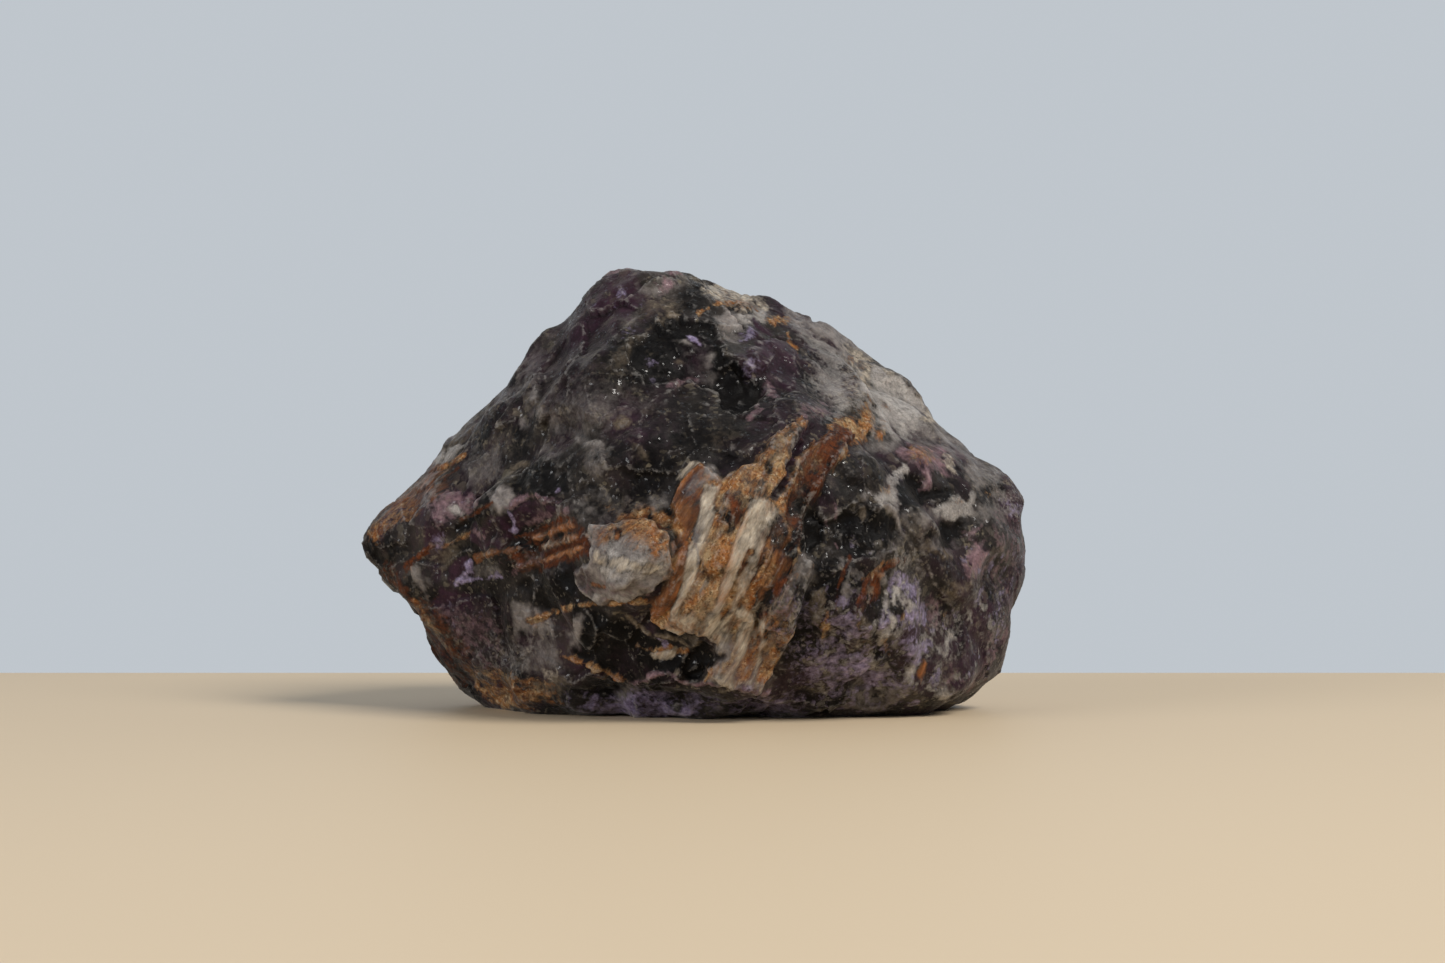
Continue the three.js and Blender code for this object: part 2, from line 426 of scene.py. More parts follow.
# Left of the crown: grey veils, small pale lumps and the cream streak on the edge.
LEFT = (
    Patch(VEIL, 0.4, 3, 0, [(590, 380), (625, 370), (655, 385), (660, 405), (640, 420), (610, 415),
        (588, 405)]),
    Patch(PLUM, 0.35, 3, 0, [(600, 380), (640, 375), (668, 390), (650, 412), (612, 410)]),
    Patch(BEIGE, 1, 0.35, 0.2, [(611, 421), (622, 418), (631, 423), (626, 431), (615, 430)]),
    Patch(VEIL, 0.95, 0.6, 0.15, [(576, 430), (592, 440), (606, 440), (611, 446), (602, 458), (583, 445)]),
    Patch(BEIGE, 0.5, 0.8, 0, [(592, 444), (606, 442), (602, 456)]),
    Patch(VEIL, 0.8, 0.8, 0.1, [(586, 460), (600, 459), (605, 470), (595, 476), (584, 468)]),
    Patch(BEIGE, 0.5, 2, 0, [(548, 358), (566, 354), (576, 368), (570, 380), (554, 383)]),
    Patch(BEIGE, 0.95, 0.5, 0.15, [(534, 398), (541, 396), (549, 408), (543, 414), (536, 407)]),
    Streak(VEIL, 0.85, 0.6, 0.1, [(532, 382), (536, 396)], 4),
    Patch(VEIL, 0.95, 0.5, 0.15, [(515, 415), (522, 414), (526, 424), (519, 427)]),
    Streak(VEIL, 0.6, 0.8, 0.05, [(543, 412), (555, 425), (560, 440)], 3),
    Patch(VEIL, 0.55, 2, 0, [(462, 455), (474, 444), (500, 440), (506, 470), (500, 486), (470, 486),
        (462, 474)]),
    Patch(VEIL, 0.95, 0.5, 0.15, [(490, 493), (500, 488), (513, 492), (513, 508), (500, 512), (492, 504)]),
    Streak(BEIGE, 0.5, 1, 0.1, [(470, 435), (490, 440), (514, 428)], 5),
    Patch(SOOT, 0.8, 1.5, -0.4, [(520, 466), (550, 457), (572, 465), (574, 492), (555, 498), (530, 495),
        (516, 482)]),
    Patch(BEIGE, 1, 0.35, 0.2, [(510, 464), (516, 460), (525, 460), (522, 470), (516, 477), (511, 475)]),
    Streak(VEIL, 0.85, 0.5, 0.1, [(553, 470), (562, 469), (569, 477), (570, 487), (565, 495), (556, 497)], 3),
    # painted violet glint
    Patch(LILAC_AND_SHEEN, 1, 0.3, 0.1, [(552, 484), (556, 484), (557, 491), (553, 491)]),
    Streak(VEIL, 0.7, 0.6, 0.05, [(534, 452), (545, 448), (555, 452)], 3),
    Patch(VEIL, 0.6, 1.5, 0.1, [(572, 510), (585, 496), (600, 490), (620, 500), (645, 502), (672, 494),
        (670, 510), (580, 524)]),
    Patch(BEIGE, 0.45, 1.5, 0, [(590, 498), (620, 500), (640, 506), (620, 514), (596, 510)]),
    Patch(SOOT, 0.5, 1.5, 0, [(575, 512), (600, 506), (610, 518), (590, 524)]),
    Patch(SOOT, 0.45, 2.5, 0, [(610, 440), (650, 430), (700, 425), (740, 440), (735, 462), (700, 462),
        (660, 478), (625, 470)]),
    Patch(BEIGE, 0.4, 2, 0, [(715, 425), (735, 424), (735, 445), (715, 448)]),
    Streak(BEIGE, 0.6, 0.8, 0.05, [(630, 446), (645, 452), (655, 462)], 4),
    Streak(VEIL, 0.8, 0.5, 0.05, [(733, 446), (737, 454)], 4),
    Patch(BEIGE, 0.8, 2, 0, [(394, 500), (420, 466), (445, 443), (470, 428), (470, 436), (448, 455),
        (408, 502)]),
    Patch(FROST, 0.95, 0.6, 0.15, [(433, 466), (447, 450), (473, 435), (462, 458), (437, 477)]),
    Patch(MILK, 0.6, 0.8, 0, [(438, 474), (452, 456), (470, 442), (462, 456), (448, 470)]),
    Streak(OCHRE, 0.9, 0.3, 0.05, [(438, 470), (463, 456)], 2),
    Streak(RUST, 0.8, 0.3, 0.05, [(444, 479), (458, 468)], 2.5),
    Patch(OCHRE, 0.95, 0.5, 0.1, [(423, 494), (432, 485), (434, 489), (426, 498)]),
    Patch(FROST, 0.9, 1, 0.1, [(420, 503), (427, 482), (442, 478), (440, 493), (428, 508)]),
    Patch(OCHRE, 0.75, 2, 0, [(366, 546), (372, 524), (394, 500), (416, 492), (422, 510), (392, 530),
        (376, 548)]),
    Patch(FROST, 0.4, 2, 0, [(376, 530), (392, 516), (398, 522), (386, 536)]),
    Patch(VEIL, 0.35, 3, 0, [(520, 370), (570, 345), (600, 380), (620, 410), (600, 440), (560, 440),
        (530, 420)]),
)

# The violet lens on the left, its mauve neighbour and the rust bars below it.
LENS = (
    Patch(BLUSH, 0.7, 1, 0.1, [(428, 501), (440, 494), (462, 491), (484, 497), (479, 508), (466, 516),
        (440, 523), (430, 515)]),
    Patch(FROST, 0.8, 0.5, 0.1, [(451, 508), (460, 506), (460, 513), (454, 514)]),
    Patch(SOOT, 0.95, 0.6, -0.35, [(453, 523), (468, 518), (480, 508), (484, 514), (470, 532), (455, 533)]),
    Streak(RUST, 0.85, 0.4, 0.05, [(460, 521), (493, 503)], 4),
    Patch(LILAC_AND_SHEEN, 0.7, 0.5, 0, [(432, 535), (440, 530), (447, 536), (445, 548), (437, 548)]),
    Patch(VEIL, 0.4, 0.8, 0, [(434, 536), (446, 540), (442, 550)]),
    Streak(RUST, 0.9, 0.5, 0.15, [(408, 566), (432, 545)], 6),
    Patch(PLUM, 0.8, 0.6, 0, [(424, 537), (430, 527), (434, 540), (428, 546)]),
    Patch(SOOT, 0.85, 1, 0, [(384, 542), (395, 532), (412, 562), (396, 558)]),
    Patch(VEIL, 0.85, 1, 0.1, [(408, 567), (420, 562), (432, 590), (428, 601), (417, 590)]),
    Patch(BEIGE, 0.6, 1, 0, [(436, 552), (452, 546), (462, 552), (455, 565), (440, 568)]),
    Patch(PLUM, 0.95, 0.6, 0.15, [(472, 531), (485, 518), (505, 511), (512, 528), (519, 536), (505, 546),
        (485, 549), (470, 543)]),
    Patch(SOOT, 0.4, 1, 0, [(480, 525), (500, 516), (505, 535), (488, 542)]),
    Patch(BLUSH, 0.8, 0.4, 0.05, [(475, 534), (488, 531), (486, 537)]),
    Patch(PLUM, 1, 0.4, 0.15, [(510, 509), (522, 502), (545, 501), (560, 505), (567, 512), (552, 519),
        (512, 529)]),
    Patch(SOOT, 0.4, 0.8, -0.15, [(516, 510), (540, 506), (552, 510), (520, 519)]),
    Patch(BLUSH, 0.6, 0.8, 0, [(522, 522), (540, 512), (564, 510), (566, 517), (530, 527)]),
    # pale rim of the lens: mauve crystal, partly a painted glint along its edge
    Streak(BLUSH, 0.8, 0.35, 0.2, [(508, 507), (520, 499), (535, 497), (552, 500), (566, 507),
        (571, 514)], 4.5),
    # painted violet highlight on the lens
    Streak(LILAC_AND_SHEEN, 1, 0.3, 0.15, [(508, 510), (514, 531)], 3.5),
    Patch(MILK, 1, 0.3, 0.1, [(526, 515), (531, 513), (537, 517), (530, 519)]),
    Patch(RUST, 0.8, 0.8, 0.1, [(515, 545), (548, 524), (574, 515), (592, 540), (590, 555), (560, 566),
        (520, 574), (508, 568)]),
    Streak(RUST, 0.9, 0.3, 0.05, [(505, 542), (568, 517)], 3),
    Patch(MILK, 0.7, 0.5, 0.05, [(523, 532), (531, 525), (548, 521), (536, 530)]),
    Patch(TAN, 1, 0.2, 0.35, [(534, 536), (573, 518), (577, 528), (540, 540)]),
    Streak(SOOT, 0.9, 0.25, -0.3, [(538, 543), (578, 530)], 3),
    Patch(SOOT, 0.7, 0.5, -0.15, [(519, 540), (536, 535), (537, 545), (522, 550)]),
    Patch(TAN, 0.9, 0.2, 0.35, [(541, 545), (576, 531), (579, 542), (544, 552)]),
    Patch(MILK, 0.65, 0.4, 0, [(543, 546), (572, 534), (573, 541), (546, 550)]),
    Streak(RUST, 0.9, 0.25, -0.2, [(545, 554), (580, 543)], 2.5),
    Patch(TAN, 0.9, 0.3, 0.2, [(515, 567), (580, 545), (588, 548), (570, 556), (520, 570)]),
    Patch(BEIGE, 0.4, 0.6, 0, [(520, 550), (536, 547), (540, 556), (524, 562)]),
    Streak(TAN, 0.95, 0.4, 0.15, [(478, 557), (518, 546)], 6),
    Streak(OCHRE, 0.5, 0.4, 0.05, [(480, 556), (498, 551)], 2),
    Streak(OCHRE, 0.6, 0.5, 0, [(442, 547), (474, 531)], 3),
    Patch(BLUSH, 0.5, 1.5, 0, [(500, 561), (540, 549), (538, 562), (515, 573)]),
    Patch(PLUM, 1, 0.5, 0.1, [(449, 578), (455, 565), (468, 559), (476, 563), (471, 575), (462, 585),
        (452, 583)]),
    # painted violet highlight
    Streak(LILAC_AND_SHEEN, 1, 0.3, 0.2, [(457, 585), (465, 580), (473, 564)], 3),
    Patch(VEIL, 0.45, 1, 0.05, [(470, 580), (478, 568), (500, 562), (505, 575), (490, 580)]),
    # painted violet highlight
    Streak(LILAC_AND_SHEEN, 0.9, 0.4, 0.1, [(456, 583), (470, 580), (485, 581), (501, 577)], 3),
    Patch(SOOT, 0.85, 1, -0.15, [(440, 592), (500, 584), (507, 600), (480, 602)]),
    Patch(PLUM, 1, 0.8, 0.05, [(431, 603), (442, 591), (462, 592), (476, 600), (470, 613), (450, 619),
        (438, 613)]),
)

# Low on the left: the grey wisps, the brown rind and the orange foot.
FOOT = (
    Patch(SOOT, 0.8, 1.5, -0.15, [(470, 602), (500, 592), (513, 600), (513, 640), (500, 648), (485, 640),
        (470, 620)]),
    Patch(SOOT, 0.85, 1.2, -0.2, [(514, 582), (540, 572), (572, 570), (580, 603), (552, 612), (530, 604)]),
    Patch(VEIL, 0.85, 1, 0.1, [(512, 600), (530, 601), (552, 628), (532, 633), (518, 625)]),
    Streak(VEIL, 0.7, 1, 0.05, [(513, 605), (519, 622), (514, 642), (500, 656)], 7),
    Streak(BLUSH, 0.85, 1, 0.1, [(446, 618), (460, 640), (478, 660), (502, 674)], 9),
    Patch(PLUM, 0.4, 2, 0, [(452, 615), (475, 612), (485, 640), (470, 640)]),
    Patch(VEIL, 0.65, 2, 0, [(498, 652), (540, 640), (562, 650), (562, 668), (540, 676), (508, 674)]),
    Patch(BEIGE, 0.4, 2, 0, [(500, 655), (540, 655), (550, 670), (512, 676)]),
    Patch(MILK, 0.7, 0.6, 0.1, [(538, 668), (556, 671), (562, 681), (546, 679)]),
    Streak(OCHRE, 0.95, 0.35, 0.1, [(528, 622), (570, 608), (592, 604), (646, 601)], 3),
    Streak(SOOT, 0.85, 0.6, 0, [(372, 548), (420, 616), (460, 680), (474, 696)], 15),
    Streak(RUST, 0.5, 1.2, 0, [(388, 570), (460, 680)], 10),
    Streak(OCHRE, 0.85, 0.6, 0.1, [(414, 600), (460, 663), (480, 682)], 5),
    Patch(OCHRE, 0.95, 0.8, 0.1, [(479, 686), (500, 684), (530, 690), (546, 698), (530, 707), (505, 708),
        (488, 700)]),
    Patch(RUST, 0.7, 1.5, 0, [(484, 682), (545, 697), (520, 700), (496, 694)]),
    Patch(BEIGE, 0.85, 1, 0.05, [(504, 677), (540, 677), (572, 684), (562, 698), (546, 697), (520, 687)]),
    Patch(PLUM, 0.6, 3, 0, [(440, 590), (500, 592), (512, 640), (500, 680), (470, 660), (450, 630)]),
)

# The pale crystal lump beside the vein.
LUMP = (
    Patch(VEIL, 1, 0.25, 0.8, [(588, 528), (600, 522), (640, 517), (652, 520), (663, 530), (669, 540),
        (672, 566), (666, 577), (636, 598), (598, 603), (585, 598), (577, 588), (577, 575), (592, 552),
        (592, 540)]),
    Patch(FROST, 0.4, 1, 0, [(592, 530), (606, 524), (640, 520), (656, 526), (668, 540), (664, 552),
        (600, 550), (594, 540)]),
    Patch(FROST, 0.4, 0.8, 0, [(618, 534), (640, 528), (656, 536), (668, 546), (670, 562), (660, 572),
        (640, 578), (620, 574), (606, 556)]),
    Patch(OCHRE, 0.42, 3, 0, [(596, 534), (620, 522), (650, 518), (668, 540), (671, 560), (655, 560),
        (625, 548), (600, 548)]),
    Patch(OCHRE, 0.5, 1.2, 0, [(646, 526), (658, 530), (668, 544), (671, 558), (664, 566), (654, 556)]),
    Streak(TAN, 0.9, 0.4, -0.05, [(604, 521), (615, 528), (622, 545)], 3),
    Patch(FROST, 0.9, 0.4, 0.05, [(598, 552), (608, 551), (616, 557), (630, 560), (650, 558), (664, 562),
        (662, 568), (648, 566), (622, 572), (610, 569), (602, 562)]),
    Patch(MILK, 0.8, 0.4, 0, [(598, 553), (640, 562), (664, 562), (664, 568), (640, 573), (610, 570),
        (600, 562)]),
    Streak(FROST, 0.9, 0.5, 0, [(588, 540), (606, 570)], 3.5),
    Patch(PLUM, 0.5, 0.8, -0.05, [(580, 570), (590, 562), (598, 568), (600, 582), (592, 596), (584, 590)]),
    Patch(BLUSH, 0.3, 1.5, 0, [(580, 575), (600, 572), (645, 580), (650, 592), (610, 602), (585, 596)]),
    Streak(FROST, 0.7, 0.6, 0.05, [(612, 572), (652, 576)], 4),
    Streak(FROST, 0.7, 0.5, 0.1, [(594, 597), (608, 590), (634, 596)], 3),
    Streak(TAN, 1, 0.4, 0.05, [(598, 581), (609, 583)], 3),
    Patch(SOOT, 0.7, 0.4, -0.2, [(571, 580), (577, 575), (576, 592), (588, 602), (580, 602), (570, 592)]),
    Streak(RUST, 1, 0.35, -0.15, [(626, 517), (645, 514), (681, 530)], 7),
    Streak(SOOT, 0.9, 0.25, -0.25, [(648, 516), (682, 531)], 3),
    Patch(OCHRE, 0.9, 0.6, 0.1, [(612, 518), (650, 510), (668, 515), (684, 527), (645, 514)]),
)

# The bladed vein that runs down the middle of the face.
VEIN = (
    Patch(OCHRE, 0.95, 0.35, 1.1, [(671, 508), (676, 488), (686, 474), (699, 464), (712, 470), (724, 480),
        (742, 466), (757, 462), (768, 441), (785, 428), (808, 421), (803, 441), (794, 455), (812, 441),
        (835, 432), (851, 437), (846, 452), (808, 512), (801, 532), (806, 556), (815, 566), (789, 642),
        (760, 692), (700, 683), (711, 665), (716, 645), (704, 636), (664, 628), (652, 618), (651, 606),
        (662, 590), (674, 556), (681, 548), (676, 538)]),
    Patch(TAN, 0.9, 0.35, 0, [(671, 506), (676, 488), (697, 468), (706, 470), (702, 512), (697, 532),
        (688, 547), (672, 606), (660, 614), (652, 610), (651, 600), (660, 594), (670, 578), (675, 562),
        (672, 545), (680, 532)]),
    Patch(MILK, 0.75, 0.8, 0, [(670, 618), (682, 608), (698, 602), (702, 614), (696, 630), (668, 629)]),
    Streak(OCHRE, 0.6, 0.5, 0, [(676, 508), (682, 522), (680, 536)], 5),
    Patch(VEIL, 0.65, 0.8, 0, [(688, 482), (700, 474), (704, 495), (694, 512), (686, 500)]),
    Patch(MILK, 1, 0.35, 0.2, [(675, 479), (690, 461), (698, 464), (684, 479)]),
    Patch(VEIL, 0.9, 0.5, 0.1, [(704, 468), (715, 470), (724, 480), (723, 489), (706, 489)]),
    Patch(MILK, 0.95, 0.3, 0.2, [(706, 489), (723, 489), (713, 535), (700, 562), (675, 631), (667, 630),
        (679, 594), (688, 548), (695, 535)]),
    Patch(VEIL, 0.75, 0.6, 0, [(697, 526), (710, 526), (706, 548), (699, 562), (688, 566)]),
    Streak(MILK, 0.6, 0.5, 0, [(700, 600), (686, 628)], 3),
    Patch(RUST, 0.35, 1, 0, [(678, 492), (698, 482), (702, 508), (692, 530), (680, 522)]),
    Patch(OCHRE, 1, 0.3, 0.25, [(724, 500), (742, 468), (756, 465), (766, 470), (768, 482), (754, 503),
        (748, 520), (728, 552), (702, 604), (696, 606), (690, 600), (719, 526)]),
    Patch(MILK, 0.4, 0.6, 0, [(744, 484), (758, 480), (764, 490), (750, 512), (742, 506)]),
    Patch(SOOT, 0.75, 0.4, -0.2, [(718, 514), (726, 507), (733, 516), (731, 532), (722, 533), (717, 524)]),
    Patch(SOOT, 0.7, 0.3, -0.15, [(722, 495), (729, 494), (728, 504), (722, 504)]),
    Streak(RUST, 0.6, 0.6, -0.1, [(728, 500), (738, 512), (736, 522)], 6),
    Patch(SOOT, 0.5, 0.5, -0.15, [(703, 570), (710, 562), (713, 575), (705, 584)]),
    Patch(MILK, 0.9, 0.3, 0.15, [(757, 500), (766, 502), (776, 512), (774, 525), (762, 548), (756, 553),
        (748, 551), (723, 598), (711, 638), (701, 636), (717, 584), (752, 505)]),
    Patch(VEIL, 0.9, 0.3, -0.1, [(770, 488), (780, 484), (777, 502), (771, 508)]),
    Patch(MILK, 0.5, 1, 0, [(700, 600), (722, 598), (716, 636), (698, 634)]),
    Streak(OCHRE, 1, 0.25, -0.05, [(749, 554), (720, 616)], 3.5),
    Patch(MILK, 0.7, 0.4, 0.05, [(764, 549), (746, 590), (732, 607), (719, 634), (714, 637), (719, 620),
        (750, 558)]),
    Streak(OCHRE, 0.9, 0.3, 0, [(765, 556), (744, 602)], 3.5),
    Patch(TAN, 0.6, 0.4, -0.2, [(732, 600), (742, 592), (744, 602), (734, 608)]),
    Patch(RUST, 1, 0.35, -0.1, [(768, 545), (770, 530), (778, 520), (790, 558), (787, 580), (762, 626),
        (756, 624), (756, 610), (768, 577), (771, 560)]),
    Patch(SOOT, 0.75, 0.5, -0.5, [(754, 608), (762, 590), (771, 586), (774, 598), (760, 624), (753, 622)]),
    Patch(SOOT, 0.55, 0.5, -0.1, [(780, 545), (788, 548), (788, 575), (778, 586), (776, 566)]),
    Patch(OCHRE, 0.5, 0.6, 0, [(762, 568), (774, 560), (776, 580), (768, 590), (760, 588)]),
    Patch(OCHRE, 0.95, 0.4, 0.1, [(756, 460), (768, 441), (800, 418), (808, 421), (802, 440), (779, 479),
        (768, 484)]),
    Patch(BEIGE, 0.45, 0.8, 0, [(760, 462), (770, 441), (786, 428), (800, 422), (800, 440), (786, 462),
        (768, 480)]),
    Patch(SOOT, 0.4, 0.6, -0.05, [(758, 462), (770, 456), (776, 470), (768, 480), (760, 474)]),
    Streak(PLUM, 1, 0.4, -0.9, [(811, 424), (800, 441), (773, 498)], 8),
    Patch(RUST, 1, 0.4, -0.3, [(779, 518), (797, 459), (812, 441), (835, 432), (851, 437), (846, 452),
        (808, 512), (793, 547), (788, 532)]),
    Patch(OCHRE, 0.5, 1, 0.1, [(784, 500), (792, 474), (806, 446), (820, 438), (836, 436), (808, 474),
        (796, 496)]),
    Patch(VEIL, 0.4, 1, 0, [(786, 504), (806, 492), (804, 520), (792, 532)]),
    Streak(SOOT, 0.7, 0.4, -0.2, [(838, 446), (804, 502)], 3),
    Streak(OCHRE, 0.85, 0.4, 0.1, [(848, 446), (824, 484)], 3),
    Patch(SOOT, 0.45, 1, -0.1, [(790, 500), (806, 496), (808, 512), (800, 530), (792, 534)]),
    Patch(SOOT, 0.7, 0.5, -0.4, [(781, 536), (789, 545), (788, 572), (781, 565)]),
    Streak(MILK, 0.7, 0.4, 0.05, [(789, 580), (766, 620), (750, 674)], 5),
    Streak(RUST, 1, 0.3, -0.2, [(800, 580), (778, 624)], 5),
    Streak(MILK, 0.85, 0.3, 0.15, [(804, 576), (777, 656)], 4.5),
    Patch(BEIGE, 0.7, 0.4, 0, [(794, 562), (802, 554), (812, 557), (812, 567), (802, 574), (794, 572)]),
)

# The pale fan at the vein's lower end, and the sharp edge it stands on.
FAN = (
    Patch(OCHRE, 0.9, 0.3, 0.2, [(733, 612), (742, 607), (751, 610), (754, 622), (770, 612), (778, 612),
        (786, 618), (787, 640), (782, 656), (764, 673), (757, 692), (700, 683), (712, 672), (720, 656),
        (717, 645), (722, 630)]),
    Patch(MILK, 0.85, 0.35, 0.1, [(738, 606), (746, 606), (753, 613), (730, 686), (716, 684), (732, 650),
        (737, 632)]),
    Patch(MILK, 0.7, 0.5, 0.05, [(706, 682), (720, 674), (744, 676), (758, 688), (740, 691), (720, 688)]),
    Streak(MILK, 0.85, 0.25, 0.1, [(764, 620), (762, 636), (746, 684)], 6),
    Streak(OCHRE, 0.9, 0.3, 0.05, [(756, 628), (739, 676)], 3.5),
    Patch(OCHRE, 0.95, 0.4, 0.05, [(765, 646), (774, 640), (779, 650), (774, 664), (764, 674), (758, 668)]),
    Patch(TAN, 0.6, 0.5, 0.05, [(720, 620), (732, 614), (730, 632), (720, 642)]),
    Streak(SOOT, 0.5, 0.4, -0.1, [(721, 627), (727, 635)], 3),
    Streak(VEIL, 0.8, 0.5, -0.1, [(714, 664), (730, 636)], 6),
    Patch(VEIL, 0.35, 1.5, 0, [(715, 640), (760, 620), (775, 660), (750, 690), (705, 682)]),
    Patch(VEIL, 0.4, 1, 0, [(772, 600), (800, 580), (800, 610), (785, 650), (768, 640)]),
    Patch(SOOT, 1, 0.5, -0.8, [(690, 642), (702, 641), (715, 644), (722, 652), (700, 681), (688, 680),
        (681, 668), (689, 655)]),
    Streak(MILK, 0.9, 0.3, 0.15, [(684, 654), (683, 664), (677, 674)], 3.5),
    Streak(BEIGE, 0.8, 0.3, 0.1, [(713, 648), (710, 656)], 3),
    Patch(SOOT, 0.95, 0.6, -0.15, [(575, 613), (600, 611), (615, 616), (645, 635), (690, 646), (690, 660),
        (680, 672), (622, 681), (590, 663), (564, 657), (570, 625)]),
    Patch(PLUM, 0.45, 2, 0, [(600, 640), (640, 650), (650, 675), (620, 676)]),
    Streak(OCHRE, 0.95, 0.3, 0.15, [(636, 647), (652, 653), (668, 650), (686, 651)], 5),
    Streak(MILK, 0.95, 0.25, 0.15, [(650, 654), (662, 656), (672, 654)], 3),
    # painted blue-white glints
    Streak(LILAC_AND_SHEEN, 0.8, 0.4, 0, [(645, 632), (664, 646)], 3),
    Streak(BEIGE, 1, 0.3, 0.4, [(616, 612), (650, 634), (670, 641), (696, 645)], 4.5),
    Streak(SOOT, 0.9, 0.25, -0.15, [(640, 620), (656, 630), (672, 634), (692, 633)], 2.5),
    Patch(VEIL, 0.85, 0.6, 0.15, [(572, 622), (581, 618), (582, 632), (574, 648), (566, 654), (566, 642)]),
    Streak(OCHRE, 1, 0.3, 0.4, [(561, 656), (596, 669), (610, 679), (625, 684)], 4),
    Streak(BLUSH, 0.8, 0.3, 0.4, [(625, 684), (668, 672), (680, 680), (750, 692), (768, 690)], 4),
    Streak(PLUM, 0.9, 0.3, 0.1, [(566, 665), (600, 674)], 2.5),
    # darker band under the lower ledge: dark fluorite, partly painted shade of the overhang
    Patch(SOOT, 0.8, 1, -0.4, [(560, 690), (600, 684), (640, 684), (760, 698), (760, 706), (640, 704),
        (590, 698)]),
    # painted lilac-white sheen under the ledge
    Patch(LILAC_AND_SHEEN, 0.7, 1, 0.1, [(572, 701), (600, 700), (640, 708), (700, 712), (690, 717), (630, 716),
        (590, 710)]),
    Patch(VEIL, 0.75, 0.8, 0.05, [(612, 693), (628, 689), (640, 692), (636, 702), (616, 702)]),
    Patch(PLUM, 0.6, 0.8, 0, [(640, 704), (655, 700), (660, 710), (645, 712)]),
    Patch(VEIL, 0.5, 1, 0, [(700, 702), (760, 704), (775, 710), (740, 714), (700, 710)]),
)
